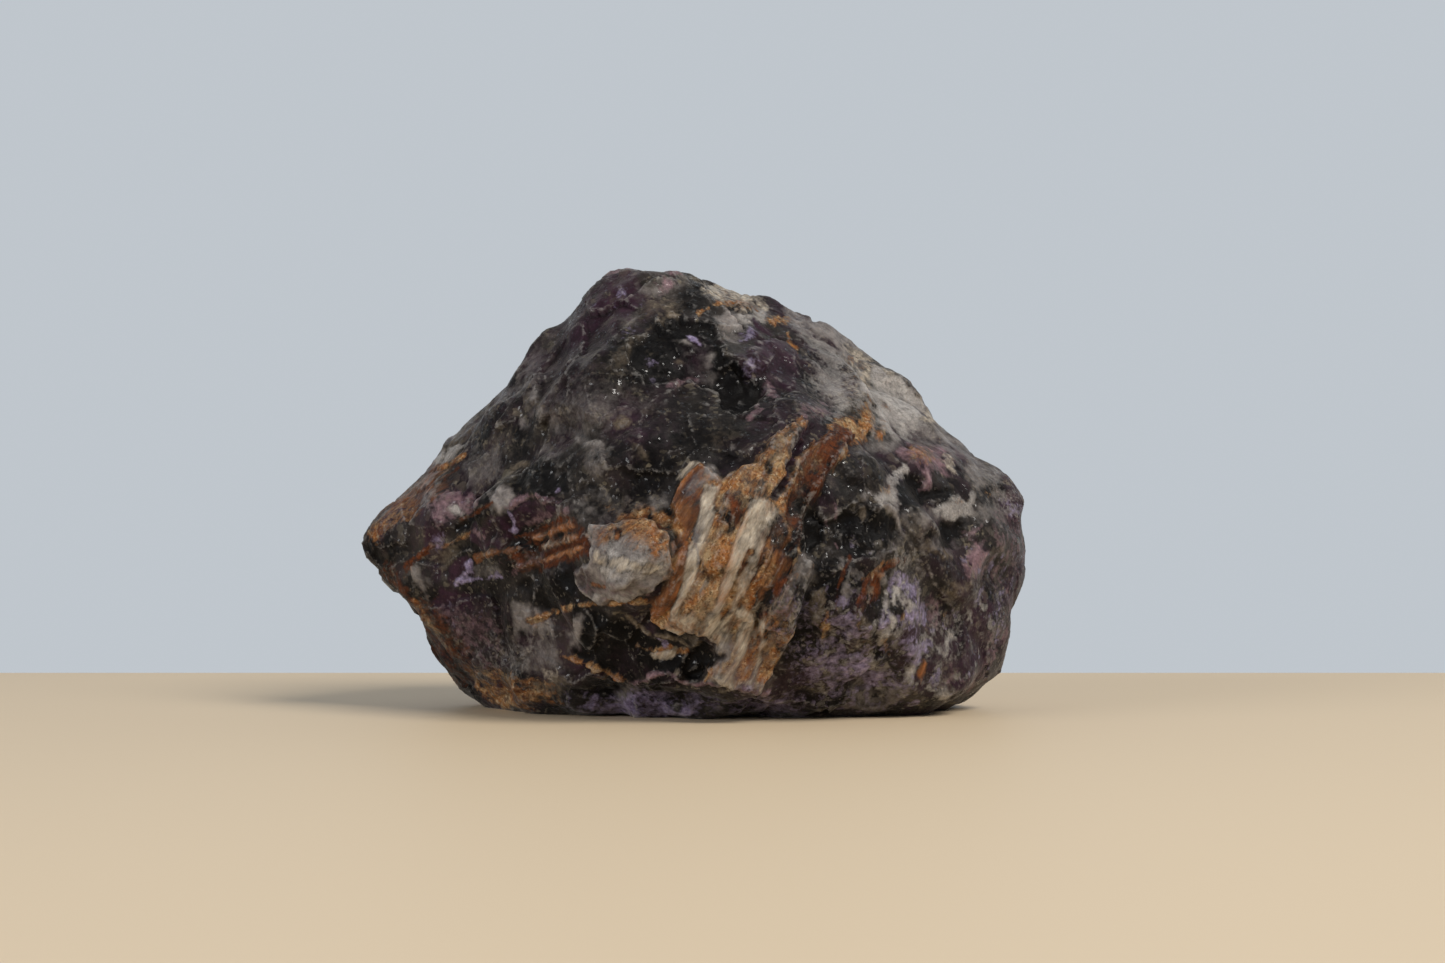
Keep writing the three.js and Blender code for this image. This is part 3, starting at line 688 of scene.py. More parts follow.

# Right of the vein, down to the foot and round to the flank; its lilac patches are violet crystal, partly
# painted sheen.
FLANK = (
    Patch(SOOT, 1, 0.6, -0.4, [(796, 546), (800, 522), (815, 502), (825, 520), (828, 545), (815, 556),
        (802, 556)]),
    Patch(SOOT, 0.9, 1, -0.4, [(833, 522), (850, 506), (885, 508), (900, 530), (906, 550), (880, 562),
        (850, 560), (836, 552)]),
    Patch(SOOT, 0.5, 2, 0, [(848, 460), (880, 455), (900, 465), (886, 484), (866, 488), (848, 502),
        (843, 482)]),
    Streak(BLUSH, 1, 0.35, 0.25, [(826, 519), (829, 534), (835, 546)], 5.5),
    Streak(BLUSH, 0.85, 0.3, 0.15, [(838, 503), (835, 516)], 2.5),
    Patch(BLUSH, 1, 0.4, 0.2, [(829, 540), (838, 545), (838, 551), (830, 551)]),
    Patch(FROST, 0.85, 0.7, 0.05, [(874, 500), (888, 486), (895, 470), (905, 463), (909, 470), (893, 505),
        (880, 510)]),
    Patch(OCHRE, 0.5, 1, 0, [(880, 490), (892, 482), (890, 498)]),
    Patch(VEIL, 0.8, 0.6, 0.1, [(857, 496), (868, 489), (876, 494), (868, 501)]),
    Patch(BEIGE, 0.9, 0.5, 0.1, [(857, 505), (865, 507), (863, 519), (857, 516)]),
    Streak(VEIL, 1, 0.2, 0.2, [(886, 504), (912, 548), (952, 606)], 3),
    Streak(VEIL, 0.9, 0.2, 0.15, [(892, 502), (916, 540)], 2.5),
    Streak(VEIL, 0.8, 0.3, 0.1, [(905, 552), (930, 588)], 2),
    Patch(SOOT, 0.6, 1, -0.2, [(900, 515), (915, 538), (918, 552), (908, 545)]),
    Patch(VEIL, 0.65, 1, 0, [(905, 500), (945, 516), (925, 524), (908, 515)]),
    Patch(FROST, 0.85, 0.6, 0.1, [(934, 511), (955, 495), (977, 493), (972, 515), (952, 521)]),
    Patch(OCHRE, 0.3, 1, 0, [(950, 500), (966, 496), (962, 510)]),
    Patch(SOOT, 0.9, 1, -0.35, [(904, 479), (914, 472), (921, 487), (940, 490), (955, 480), (960, 490),
        (915, 511), (902, 506), (899, 490)]),
    Patch(BLUSH, 0.9, 0.5, 0.15, [(918, 470), (932, 474), (930, 488), (922, 490)]),
    Patch(SOOT, 0.85, 0.8, -0.15, [(951, 454), (962, 461), (970, 476), (961, 482), (950, 472)]),
    Patch(VEIL, 0.6, 1.5, 0, [(968, 468), (985, 467), (1002, 480), (998, 492), (975, 488)]),
    Patch(OCHRE, 0.45, 1.5, 0, [(982, 492), (998, 486), (1000, 497), (988, 500)]),
    Patch(SOOT, 0.9, 1, -0.35, [(950, 522), (969, 522), (963, 540), (951, 555), (966, 570), (940, 566),
        (914, 553), (920, 535)]),
    Patch(BEIGE, 0.75, 0.8, 0.15, [(914, 549), (925, 538), (956, 556), (952, 566)]),
    Patch(BLUSH, 0.85, 1.5, 0.1, [(966, 530), (980, 525), (976, 545), (966, 548)]),
    Patch(BLUSH, 0.8, 0.8, 0.2, [(957, 561), (970, 548), (985, 544), (997, 555), (993, 571), (975, 576)]),
    Patch(BEIGE, 0.55, 1.2, 0.1, [(936, 592), (960, 580), (978, 575), (972, 588), (954, 602)]),
    Patch(VEIL, 0.5, 1.2, 0, [(970, 508), (985, 504), (1006, 510), (1000, 523), (977, 526)]),
    Patch(LILAC_AND_SHEEN, 0.85, 0.8, 0, [(1004, 500), (1018, 499), (1024, 512), (1009, 515)]),
    Patch(BLUSH, 0.3, 3, 0, [(985, 520), (1028, 520), (1030, 560), (1006, 600), (1006, 645), (985, 690),
        (962, 690), (985, 600)]),
    Patch(PLUM, 0.65, 1.5, 0, [(960, 592), (1000, 600), (1003, 640), (968, 692), (957, 660), (964, 630)]),
    Patch(BLUSH, 0.8, 0.8, 0, [(985, 630), (1002, 632), (1000, 650), (984, 668), (970, 692), (962, 690),
        (986, 648)]),
    Patch(SOOT, 0.6, 1.5, -0.1, [(796, 570), (900, 560), (905, 600), (900, 710), (800, 710), (785, 690)]),
    Patch(PLUM, 0.7, 1.5, 0, [(900, 590), (940, 590), (960, 640), (965, 695), (900, 700)]),
    Patch(BEIGE, 0.9, 0.4, 0.2, [(812, 590), (824, 587), (830, 600), (824, 612), (822, 635), (812, 625),
        (809, 605)]),
    Patch(VEIL, 0.6, 0.5, 0.05, [(812, 604), (821, 600), (820, 622), (813, 622)]),
    Patch(OCHRE, 0.95, 0.3, 0.15, [(824, 610), (833, 608), (831, 626), (823, 640), (820, 634)]),
    Streak(RUST, 0.8, 0.4, 0, [(835, 610), (838, 590), (850, 556)], 4),
    Patch(VEIL, 0.85, 0.4, 0, [(843, 585), (850, 583), (853, 596), (846, 604)]),
    Patch(RUST, 0.95, 0.4, 0.15, [(853, 612), (864, 582), (876, 570), (904, 556), (902, 563), (886, 572),
        (880, 585), (878, 600), (866, 606), (860, 618)]),
    Streak(OCHRE, 0.6, 0.4, 0, [(864, 580), (878, 568), (896, 558)], 2.5),
    Patch(SOOT, 0.6, 0.4, 0, [(867, 588), (876, 584), (876, 604), (868, 612)]),
    Patch(VEIL, 0.75, 0.4, 0, [(877, 575), (886, 572), (888, 586), (880, 590)]),
    Patch(BEIGE, 0.9, 0.4, 0.3, [(850, 618), (862, 610), (870, 625), (872, 650), (862, 664), (850, 660),
        (843, 645)]),
    Patch(VEIL, 0.6, 0.5, 0, [(848, 636), (858, 632), (862, 652), (852, 656)]),
    Streak(OCHRE, 0.6, 0.4, 0, [(856, 620), (864, 642)], 2.2),
    Streak(SOOT, 0.8, 0.4, -0.3, [(874, 615), (880, 668)], 4),
    Patch(FROST, 0.85, 0.3, 0.2, [(882, 592), (890, 588), (892, 600), (884, 640), (878, 648), (876, 630)]),
    Patch(LILAC_AND_SHEEN, 0.6, 0.4, 0, [(884, 590), (896, 574), (902, 572), (900, 595), (893, 605)]),
    Streak(FROST, 0.9, 0.3, 0.2, [(899, 580), (886, 632)], 6),
    Patch(VEIL, 0.75, 0.4, 0, [(890, 642), (900, 618), (905, 622), (900, 642), (893, 652)]),
    Streak(OCHRE, 0.85, 0.3, 0.05, [(901, 600), (902, 618)], 4),
    Streak(OCHRE, 0.6, 0.4, 0, [(884, 640), (888, 652)], 2.5),
    Patch(LILAC_AND_SHEEN, 0.9, 0.6, 0.05, [(903, 575), (912, 572), (918, 590), (920, 608), (916, 622), (908, 622),
        (902, 590)]),
    Patch(FROST, 0.7, 0.4, 0, [(906, 598), (915, 602), (915, 618), (907, 618)]),
    Patch(BLUSH, 0.6, 0.8, 0.05, [(918, 592), (940, 600), (942, 625), (930, 635), (920, 620)]),
    Patch(FROST, 0.95, 0.3, 0.15, [(942, 628), (950, 628), (952, 638), (945, 641)]),
    Patch(OCHRE, 0.5, 0.5, 0, [(940, 612), (948, 610), (946, 622), (940, 620)]),
    Streak(FROST, 0.85, 0.3, 0.15, [(919, 646), (906, 694)], 8),
    Patch(TAN, 1, 0.3, 0.15, [(918, 672), (924, 660), (930, 662), (928, 674), (920, 686)]),
    Patch(LILAC_AND_SHEEN, 0.95, 0.3, 0.1, [(858, 668), (868, 660), (882, 668), (884, 680), (876, 688), (862, 684)]),
    Patch(VEIL, 0.85, 0.4, 0.1, [(850, 684), (862, 680), (876, 690), (866, 699), (852, 696)]),
    Patch(LILAC_AND_SHEEN, 0.6, 0.5, 0, [(838, 668), (850, 664), (850, 678), (840, 680)]),
    Patch(BEIGE, 0.6, 0.5, 0, [(832, 652), (843, 655), (842, 668), (832, 668)]),
    Patch(VEIL, 0.85, 0.4, 0.1, [(884, 690), (896, 682), (904, 694), (898, 706), (888, 704)]),
    Streak(FROST, 0.8, 0.3, 0.05, [(886, 664), (902, 692)], 3.5),
    Patch(LILAC_AND_SHEEN, 0.9, 0.4, 0.1, [(904, 709), (914, 699), (926, 698), (920, 709)]),
    Patch(FROST, 0.85, 0.4, 0.1, [(932, 688), (944, 684), (950, 692), (944, 700), (936, 698)]),
    Patch(BLUSH, 0.6, 1, 0, [(938, 658), (956, 664), (960, 682), (946, 680)]),
    Streak(VEIL, 0.8, 0.4, 0.05, [(960, 636), (966, 652), (966, 668)], 3),
    Streak(VEIL, 0.8, 0.4, 0.05, [(846, 704), (884, 707)], 5),
    Patch(PLUM, 0.6, 1, 0, [(804, 650), (825, 650), (823, 666), (808, 669)]),
    Streak(VEIL, 0.9, 0.4, 0.15, [(800, 640), (812, 632), (822, 640)], 4),
    Streak(LILAC_AND_SHEEN, 0.8, 0.4, 0.1, [(802, 644), (812, 636)], 3),
    Streak(RUST, 0.6, 0.5, 0, [(800, 642), (790, 652)], 4),
    Patch(VEIL, 0.7, 0.5, 0.1, [(792, 560), (805, 554), (816, 560), (812, 575), (800, 579), (792, 572)]),
)

# Broad washes that darken or lighten stretches of the whole face: partly the stone's own tone, partly painted
# light.
TONE_AND_LIGHT_WASHES = (
    Patch(SOOT, 0.5, 4, 0, [(560, 350), (600, 320), (660, 318), (672, 380), (640, 400), (580, 400),
        (555, 380)]),
    Patch(SOOT, 0.3, 4, 0, [(560, 430), (620, 430), (628, 500), (560, 520), (540, 490)]),
    Patch(SOOT, 0.3, 3, 0, [(450, 440), (500, 430), (505, 480), (455, 480)]),
    Patch(SOOT, 0.35, 4, 0, [(740, 350), (800, 360), (810, 440), (745, 420)]),
    Patch(SOOT, 0.35, 3, 0, [(790, 520), (830, 530), (830, 580), (800, 600), (780, 560)]),
    # painted reflection of the bright background along the upper-right rim
    Patch(VEIL, 0.6, 4, 0, [(845, 340), (900, 370), (1000, 455), (985, 472), (930, 445), (845, 375)]),
    Patch(BLUSH, 0.2, 4, 0, [(985, 470), (1025, 480), (1032, 540), (1025, 620), (1000, 680), (975, 680),
        (985, 600)]),
    Patch(FROST, 0.3, 3, 0, [(450, 630), (540, 640), (530, 690), (470, 680)]),
    Patch(TAN, 0.5, 3, 0, [(360, 510), (380, 480), (430, 440), (450, 490), (400, 520)]),
    # painted reflection along the upper-right rim
    Patch(MILK, 0.85, 3, 0, [(848, 345), (885, 362), (940, 410), (930, 430), (855, 388)]),
    # painted violet highlights along the foot
    Patch(LILAC_AND_SHEEN, 0.3, 2, 0, [(560, 692), (780, 696), (900, 690), (900, 712), (560, 712)]),
    Patch(VEIL, 0.15, 4, 0, [(985, 470), (1025, 480), (1032, 540), (1025, 620), (1000, 680), (975, 680),
        (985, 600)]),
    # painted reflection along the upper-right rim
    Patch(FROST, 0.8, 2, 0, [(872, 365), (900, 380), (925, 405), (900, 435), (885, 420), (880, 395),
        (866, 380)]),
    Patch(SOOT, 0.28, 3, 0, [(770, 480), (850, 440), (870, 500), (800, 560), (770, 540)]),
    Patch(MILK, 0.35, 2, 0, [(690, 585), (775, 585), (765, 650), (715, 650)]),
    Patch(FROST, 0.35, 2, 0, [(985, 462), (1025, 495), (1020, 520), (985, 500)]),
    Patch(OCHRE, 0.5, 2, 0, [(468, 664), (560, 686), (560, 706), (488, 704)]),
    Patch(OCHRE, 0.25, 2, 0, [(600, 505), (655, 505), (655, 540), (610, 535)]),
    Patch(VEIL, 0.4, 1.5, 0, [(790, 550), (815, 552), (812, 590), (790, 590)]),
    Patch(TAN, 0.45, 1.5, 0, [(756, 525), (780, 520), (792, 540), (785, 570), (765, 598), (752, 590)]),
    # painted light that brightens the lower right
    Patch(LILAC_AND_SHEEN, 0.3, 2, 0, [(850, 590), (925, 620), (925, 690), (810, 680)]),
    # painted light that brightens the lower right
    Patch(FROST, 0.3, 2, 0, [(925, 600), (1000, 600), (1000, 650), (925, 690)]),
    Patch(FROST, 0.4, 2, 0, [(880, 545), (920, 545), (925, 600), (890, 600)]),
    # painted reflection along the upper-right rim
    Patch(FROST, 0.45, 2, 0, [(845, 370), (880, 372), (920, 400), (915, 420), (870, 405)]),
    Patch(PLUM, 0.4, 1.5, 0, [(955, 600), (1000, 600), (990, 670), (955, 690)]),
    Patch(BLUSH, 0.3, 2, 0, [(440, 610), (500, 612), (505, 655), (465, 660)]),
    Patch(RUST, 0.4, 2, 0, [(425, 590), (478, 664), (470, 680), (412, 600)]),
    # painted reflection along the upper-right rim
    Patch(FROST, 0.4, 2, 0, [(850, 380), (895, 385), (935, 430), (925, 442), (880, 422)]),
    Patch(SOOT, 0.25, 2, 0, [(725, 385), (770, 400), (775, 500), (800, 530), (790, 555), (740, 500),
        (720, 450)]),
    Patch(PLUM, 0.25, 3, 0, [(460, 400), (540, 330), (600, 290), (615, 330), (560, 400), (500, 450)]),
    # painted violet highlights along the foot
    Patch(LILAC_AND_SHEEN, 0.3, 2, 0, [(640, 700), (780, 696), (800, 712), (640, 712)]),
    # painted light that brightens the lower right
    Patch(LILAC_AND_SHEEN, 0.3, 2, 0, [(770, 585), (860, 600), (870, 690), (790, 690)]),
)

# Every region of the face, the lowest layer first.
VEINED_FACE = (
    Region(CROWN),
    Region(SHOULDER),
    Region(LEFT),
    Region(LENS),
    Region(FOOT),
    Region(LUMP, softness=1.5, least_edge=0.2, stain_edge=1.0, widening=1.0, least_streak=0.0),
    Region(VEIN, least_edge=0.3, stain_edge=1.0),
    Region(FAN, least_edge=0.3, stain_edge=1.0),
    Region(FLANK, softness=1.35, least_edge=0.3, pale_cover=0.86),
    Region(TONE_AND_LIGHT_WASHES),
)


def laid_patches() -> Iterator[Patch]:
    """Every patch of the veined face as its region lays it, the lowest layer first."""
    for region in VEINED_FACE:
        for patch in region.patches:
            yield patch.laid(region)


# ---------------------------------------------------------------- the chunk


@dataclass(frozen=True)
class Tearing:
    """How ragged the drawn growths' borders are, in millimetres.

    Attributes:
        sway: How far the outlines of the growths without blades wander.
        plain: How deep the tears in their edges are.
        bladed: How deep the tears along the blades are.
        by_edge: How much deeper both get for each millimetre of edge.
        margin: How far beyond its outline a patch is still worked out.
        least_step: How wide the step up to a lifted patch is, besides half its edge.
        widest_step: The most that step may be.
    """

    sway: float = 0.55
    plain: float = 0.25
    bladed: float = 0.5
    by_edge: float = 0.3
    margin: float = 2.0
    least_step: float = 0.15
    widest_step: float = 1.5


@dataclass(frozen=True)
class Hackle:
    """One size of the small broken facets.

    Attributes:
        cell: A facet's usual width, in millimetres.
        tilt: How steep the facets are everywhere.
        hackly_tilt: How much steeper they get where the stone is hackly.
        channel: Which pattern they follow.
    """

    cell: float
    tilt: float
    hackly_tilt: float
    channel: int


@dataclass(frozen=True)
class Breakage:
    """How the broken surface stands over the smoothed CAD shape, in millimetres.

    Attributes:
        hackles: The facets, the largest first.
        height: How much of the facets' height the plain stone keeps.
        calm_blades: How much of it the bladed growths take away.
        calm_frost: How much the weathered crystal takes away.
        calmest: The most that both take away together.
        rubbed: From where to where the stone gets smoother toward its right end.
        rubbed_off: How much of the facets is rubbed off there.
        blade_steps: The blades' widths, each with how far they stand over each other.
        blade_slope: How much of that height each blade slopes down.
        grain: How high the powdery growths' grains are.
        pore: How deep their pores are.
    """

    hackles: tuple[Hackle, ...] = (
        Hackle(6.5, 0.13, 0.0, 30),
        Hackle(2.8, 0.02, 0.07, 40),
        Hackle(1.3, 0.01, 0.08, 50),
    )
    height: float = 0.8
    calm_blades: float = 0.55
    calm_frost: float = 0.7
    calmest: float = 0.6
    rubbed: tuple[float, float] = (20.0, 31.0)
    rubbed_off: float = 0.7
    blade_steps: tuple[tuple[float, float], ...] = ((2.3, 0.36), (0.9, 0.2))
    blade_slope: float = 0.3
    grain: float = 0.14
    pore: float = 0.3


@dataclass(frozen=True)
class HiddenVein:
    """A bladed vein that runs on through the stone on the sides turned away from the viewer.

    Attributes:
        centre: Where it lies across the blades, in millimetres.
        reach: Half its usual width, in millimetres.
    """

    centre: float
    reach: float


@dataclass
class FluoriteChunk:
    """The rough chunk: its broken surface and the growths on it.

    Attributes:
        node: The CAD node that it stands for.
        face_spacing: Longest mesh edge on the veined face.
        side_spacing: Longest mesh edge elsewhere.
        foot_spacing: Longest mesh edge on the resting spot.
        halvings: How many times the longest edges are halved.
        glancing: The fine mesh ends where the stone faces the viewer less squarely than this.
        turning: The drawn growths fade in between these two ways of facing the viewer.
        behind: They fade out between these two depths, in millimetres.
        foot_height: The stone is left as the CAD has it up to this height.
        foot_blend: From there up to this height the broken surface comes in.
        softening: How many times the CAD facets are smoothed away.
        blade_lean: Direction across the vein's blades, as the viewer sees them.
        bar_lean: The same for the rusty bars left of them.
        bar_edge: The bars lie left of here.
        blade_stretch: How far patterns are drawn out along the blades.
        hidden_veins: The veins on the sides turned away from the viewer.
        hidden_blades: What their blades are made of, each as likely as the next.
        hidden_blade_width: How wide those blades are.
        hidden_lean: How far those veins shift for each millimetre into the stone.
        face_depth: Where the veined face is, and that shift starts.
        grainy_right: Growths break up into grains to the right, coming in between these places.
        grainy_below: The same downward, between these heights.
        stain_reach: How many mesh edges far the stains soak.
        ridge: How many mesh edges far a ridge's surroundings go, and the height of a full ridge; creases get
            painted shade.
        hollow: The same for the broad hollows, which the finish darkens with painted shade.
        tearing: How ragged the drawn growths' borders are.
        breakage: How the broken surface stands over the CAD shape.
        covers: How much of each growth covers each point.
        front: Where the drawn growths show, from 0 to 1.
        seen: Where the viewer sees each point on the upright plane through the middle.
        lift: How far the drawn growths stand out at each point.
    """

    node: str = "fluorite_chunk"
    face_spacing: float = 0.5
    side_spacing: float = 1.1
    foot_spacing: float = 4.0
    halvings: int = 5
    glancing: float = 0.12
    turning: tuple[float, float] = (-0.03, 0.1)
    behind: tuple[float, float] = (14.0, 20.0)
    foot_height: float = 0.05
    foot_blend: float = 1.2
    softening: int = 10
    blade_lean: tuple[float, float] = (0.88, -0.47)
    bar_lean: tuple[float, float] = (-0.3, 0.95)
    bar_edge: float = -17.5
    blade_stretch: float = 4.0
    hidden_veins: tuple[HiddenVein, ...] = (
        HiddenVein(-4.0, 5.5),
        HiddenVein(24.0, 2.0),
        HiddenVein(-27.0, 1.6),
    )
    hidden_blades: tuple[Growth, ...] = (OCHRE, MILK, RUST, TAN, BLUSH, MILK)
    hidden_blade_width: float = 1.9
    hidden_lean: float = 0.12
    face_depth: float = -28.0
    grainy_right: tuple[float, float] = (12.0, 18.0)
    grainy_below: tuple[float, float] = (20.0, 28.0)
    stain_reach: int = 9
    ridge: tuple[int, float] = (3, 0.12)
    hollow: tuple[int, float] = (60, 1.1)
    tearing: Tearing = Tearing()
    breakage: Breakage = Breakage()
    covers: dict[Growth, Values] = field(init=False, default_factory=dict)
    front: Values = field(init=False)
    seen: Points = field(init=False)
    lift: Values = field(init=False)

    def build(self) -> bpy.types.Object:
        """Makes the chunk's mesh, with its growths as attributes.

        Returns:
            The new piece, which replaces the CAD node.
        """
        shell = self.refined_shell()
        shell.verts.ensure_lookup_table()
        shell.normal_update()
        points = np.array([vert.co for vert in shell.verts]) / MM
        normals = np.array([vert.normal for vert in shell.verts])
        self.mark_growths(points, normals)
        height = self.relief(points) * smoothstep(self.foot_height, self.foot_blend, points[:, 2])
        points = points + normals * height[:, None]
        points[:, 2] = np.maximum(points[:, 2], 0.0)
        for vert, place in zip(shell.verts, points * MM):
            vert.co = place
        marks = {growth.value: cover for growth, cover in self.covers.items()}
        stain = self.covers[OCHRE] + self.covers[RUST]
        marks["stain"] = self.spread(self.edge_ends(shell), stain, self.stain_reach)
        marks["bladed"] = self.bladed()
        # ridges and creases: the finish pales the ridges and paints shade into the creases
        marks["ridge"] = self.ridges(shell, points, *self.ridge)
        # broad hollows, for the painted shade there
        marks["hollow"] = -self.ridges(shell, points, *self.hollow)
        bmesh.ops.recalc_face_normals(shell, faces=shell.faces[:])
        mesh = bpy.data.meshes.new("fluorite_surface")
        shell.to_mesh(mesh)
        shell.free()
        for name, values in marks.items():
            self.add_attribute(mesh, name, values)
        blade_place = mesh.attributes.new("blade_place", "FLOAT_VECTOR", "POINT")
        blade_place.data.foreach_set("vector", self.along_blades(points).astype(np.float32).ravel())
        mesh.shade_smooth()
        piece = bpy.data.objects.new("fluorite_surface", mesh)
        bpy.context.scene.collection.objects.link(piece)
        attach(piece, "root")
        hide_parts(self.node)
        log.info("%s: %d faces", piece.name, len(mesh.polygons))
        return piece

    @staticmethod
    def add_attribute(mesh: bpy.types.Mesh, name: str, values: Values) -> None:
        """Stores a number for each vertex under a name that the finish reads."""
        layer = mesh.attributes.new(name, "FLOAT", "POINT")
        layer.data.foreach_set("value", values.astype(np.float32))

    def refined_shell(self) -> bmesh.types.BMesh:
        """A merged copy of the CAD node's mesh, divided finely and smoothed.

        Returns:
            The new mesh, closed and facing out.
        """
        shell = bmesh.new()
        shell.from_mesh(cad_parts[self.node].data)
        bmesh.ops.remove_doubles(shell, verts=shell.verts[:], dist=0.001 * MM)
        for _ in range(self.halvings):
            shell.normal_update()
            shell.edges.ensure_lookup_table()
            coarse = [shell.edges[index] for index in self.coarse_edges(shell)]
            bmesh.ops.subdivide_edges(shell, edges=coarse, cuts=1, use_grid_fill=True, use_single_edge=True)
            bmesh.ops.triangulate(shell, faces=shell.faces[:])
        free = [vert for vert in shell.verts if vert.co.z > self.foot_height * MM]
        for _ in range(self.softening):
            bmesh.ops.smooth_vert(
                shell, verts=free, factor=0.5, use_axis_x=True, use_axis_y=True, use_axis_z=True
            )
        return shell

    def coarse_edges(self, shell: bmesh.types.BMesh) -> np.ndarray:
        """Finds the mesh edges that are too long for where they lie.

        Args:
            shell: The mesh, with up-to-date normals.

        Returns:
            The numbers of those edges.
        """
        points = np.array([vert.co for vert in shell.verts]) / MM
        normals = np.array([vert.normal for vert in shell.verts])
        first, last = self.edge_ends(shell).T
        length = np.linalg.norm(points[first] - points[last], axis=1)
        on_face = self.facing(points, normals)[first] > self.glancing
        limit = np.where(on_face, self.face_spacing, self.side_spacing)
        on_foot = np.maximum(points[first, 2], points[last, 2]) < self.foot_height
        limit[on_foot] = self.foot_spacing
        return np.flatnonzero(length > limit)

    @staticmethod
    def edge_ends(shell: bmesh.types.BMesh) -> np.ndarray:
        """The numbers of each edge's two vertices, one edge to a row."""
        shell.verts.index_update()
        return np.array([(edge.verts[0].index, edge.verts[1].index) for edge in shell.edges])

    @staticmethod
    def facing(points: Points, normals: Points) -> Values:
        """How squarely the surface faces the viewer: 1 straight on, 0 edge on, negative facing away."""
        sight = EYE - points
        sight /= np.linalg.norm(sight, axis=1)[:, None]
        return np.einsum("ij,ij->i", sight, normals)

    def mark_growths(self, points: Points, normals: Points) -> None:
        """Works out how much of each growth covers each point.

        Args:
            points: The surface's points.
            normals: The directions in which the surface faces there.
        """
        self.front = smoothstep(*self.turning, self.facing(points, normals))
        self.front *= 1.0 - smoothstep(*self.behind, points[:, 1])
        depth = -EYE[1] / (points[:, 1] - EYE[1])
        self.seen = EYE[[0, 2]] + (points[:, [0, 2]] - EYE[[0, 2]]) * depth[:, None]
        face, self.lift = self.face_growths(points)
        wild = self.wild_growths(points)
        for growth in Growth:
            self.covers[growth] = face[growth] * self.front + wild[growth] * (1.0 - self.front)
        self.interleave(points)

    def interleave(self, points: Points) -> None:
        """Breaks the growths up into finer blades and grains, by turning parts of each into another.

        Args:
            points: The surface's points.
        """
        blades = self.along_blades(points)
        fine = LATTICE.waves(blades, 1.3, channel=70)
        broad = LATTICE.waves(blades, 2.8, channel=71)
        grains = LATTICE.waves(points, 1.9, channel=72)
        glints = LATTICE.waves(points, 1.3, channel=73)
        right = smoothstep(*self.grainy_right, points[:, 0])
        right *= 1.0 - smoothstep(*self.grainy_below, points[:, 2])
        hidden = 1.0 - self.front
        broken = 0.3 + 0.7 * np.maximum(right, hidden)
        swaps = (
            (VEIL, SOOT, 0.6 * hidden * smoothstep(0.1, 0.35, -grains)),
            (VEIL, FROST, 0.5 * hidden * smoothstep(0.3, 0.5, glints)),
            (SOOT, VEIL, 0.6 * right * smoothstep(0.25, 0.5, grains)),
            (SOOT, LILAC_AND_SHEEN, 0.6 * right * smoothstep(0.35, 0.5, glints - 0.3 * grains)),
            (PLUM, LILAC_AND_SHEEN, 0.75 * broken * smoothstep(0.25, 0.5, glints)),
            (PLUM, FROST, 0.8 * right * smoothstep(0.35, 0.6, grains)),
            (BLUSH, PLUM, 0.8 * broken * smoothstep(0.2, 0.45, -glints)),
            (BLUSH, LILAC_AND_SHEEN, 0.7 * broken * smoothstep(0.2, 0.45, grains)),
            (LILAC_AND_SHEEN, FROST, 0.7 * broken * smoothstep(0.2, 0.45, glints)),
            (LILAC_AND_SHEEN, PLUM, 0.8 * broken * smoothstep(0.2, 0.45, -grains)),
            (FROST, VEIL, 0.6 * broken * smoothstep(0.15, 0.4, -glints)),
            (FROST, LILAC_AND_SHEEN, 0.5 * right * smoothstep(0.2, 0.45, grains)),
            (BEIGE, VEIL, 0.6 * right * smoothstep(0.0, 0.4, grains)),
            (OCHRE, MILK, 0.4 * smoothstep(0.2, 0.7, fine + 0.4 * broad)),
            (OCHRE, RUST, 0.5 * smoothstep(0.25, 0.7, -fine + 0.3 * broad)),
            (OCHRE, VEIL, 0.4 * smoothstep(0.45, 0.8, broad)),
            (MILK, OCHRE, 0.35 * smoothstep(0.3, 0.7, -broad + 0.3 * fine)),
            (MILK, VEIL, 0.4 * smoothstep(0.2, 0.7, fine - 0.3 * broad)),
            (TAN, MILK, 0.25 * smoothstep(0.3, 0.8, fine)),
            (TAN, RUST, 0.5 * smoothstep(0.3, 0.7, -fine)),
            (RUST, SOOT, 0.4 * smoothstep(0.3, 0.7, -fine)),
            (RUST, OCHRE, 0.3 * smoothstep(0.35, 0.8, fine + 0.3 * broad)),
        )
        for source, target, share in swaps:
            moved = self.covers[source] * share
            self.covers[source] = self.covers[source] - moved
            self.covers[target] = self.covers[target] + moved

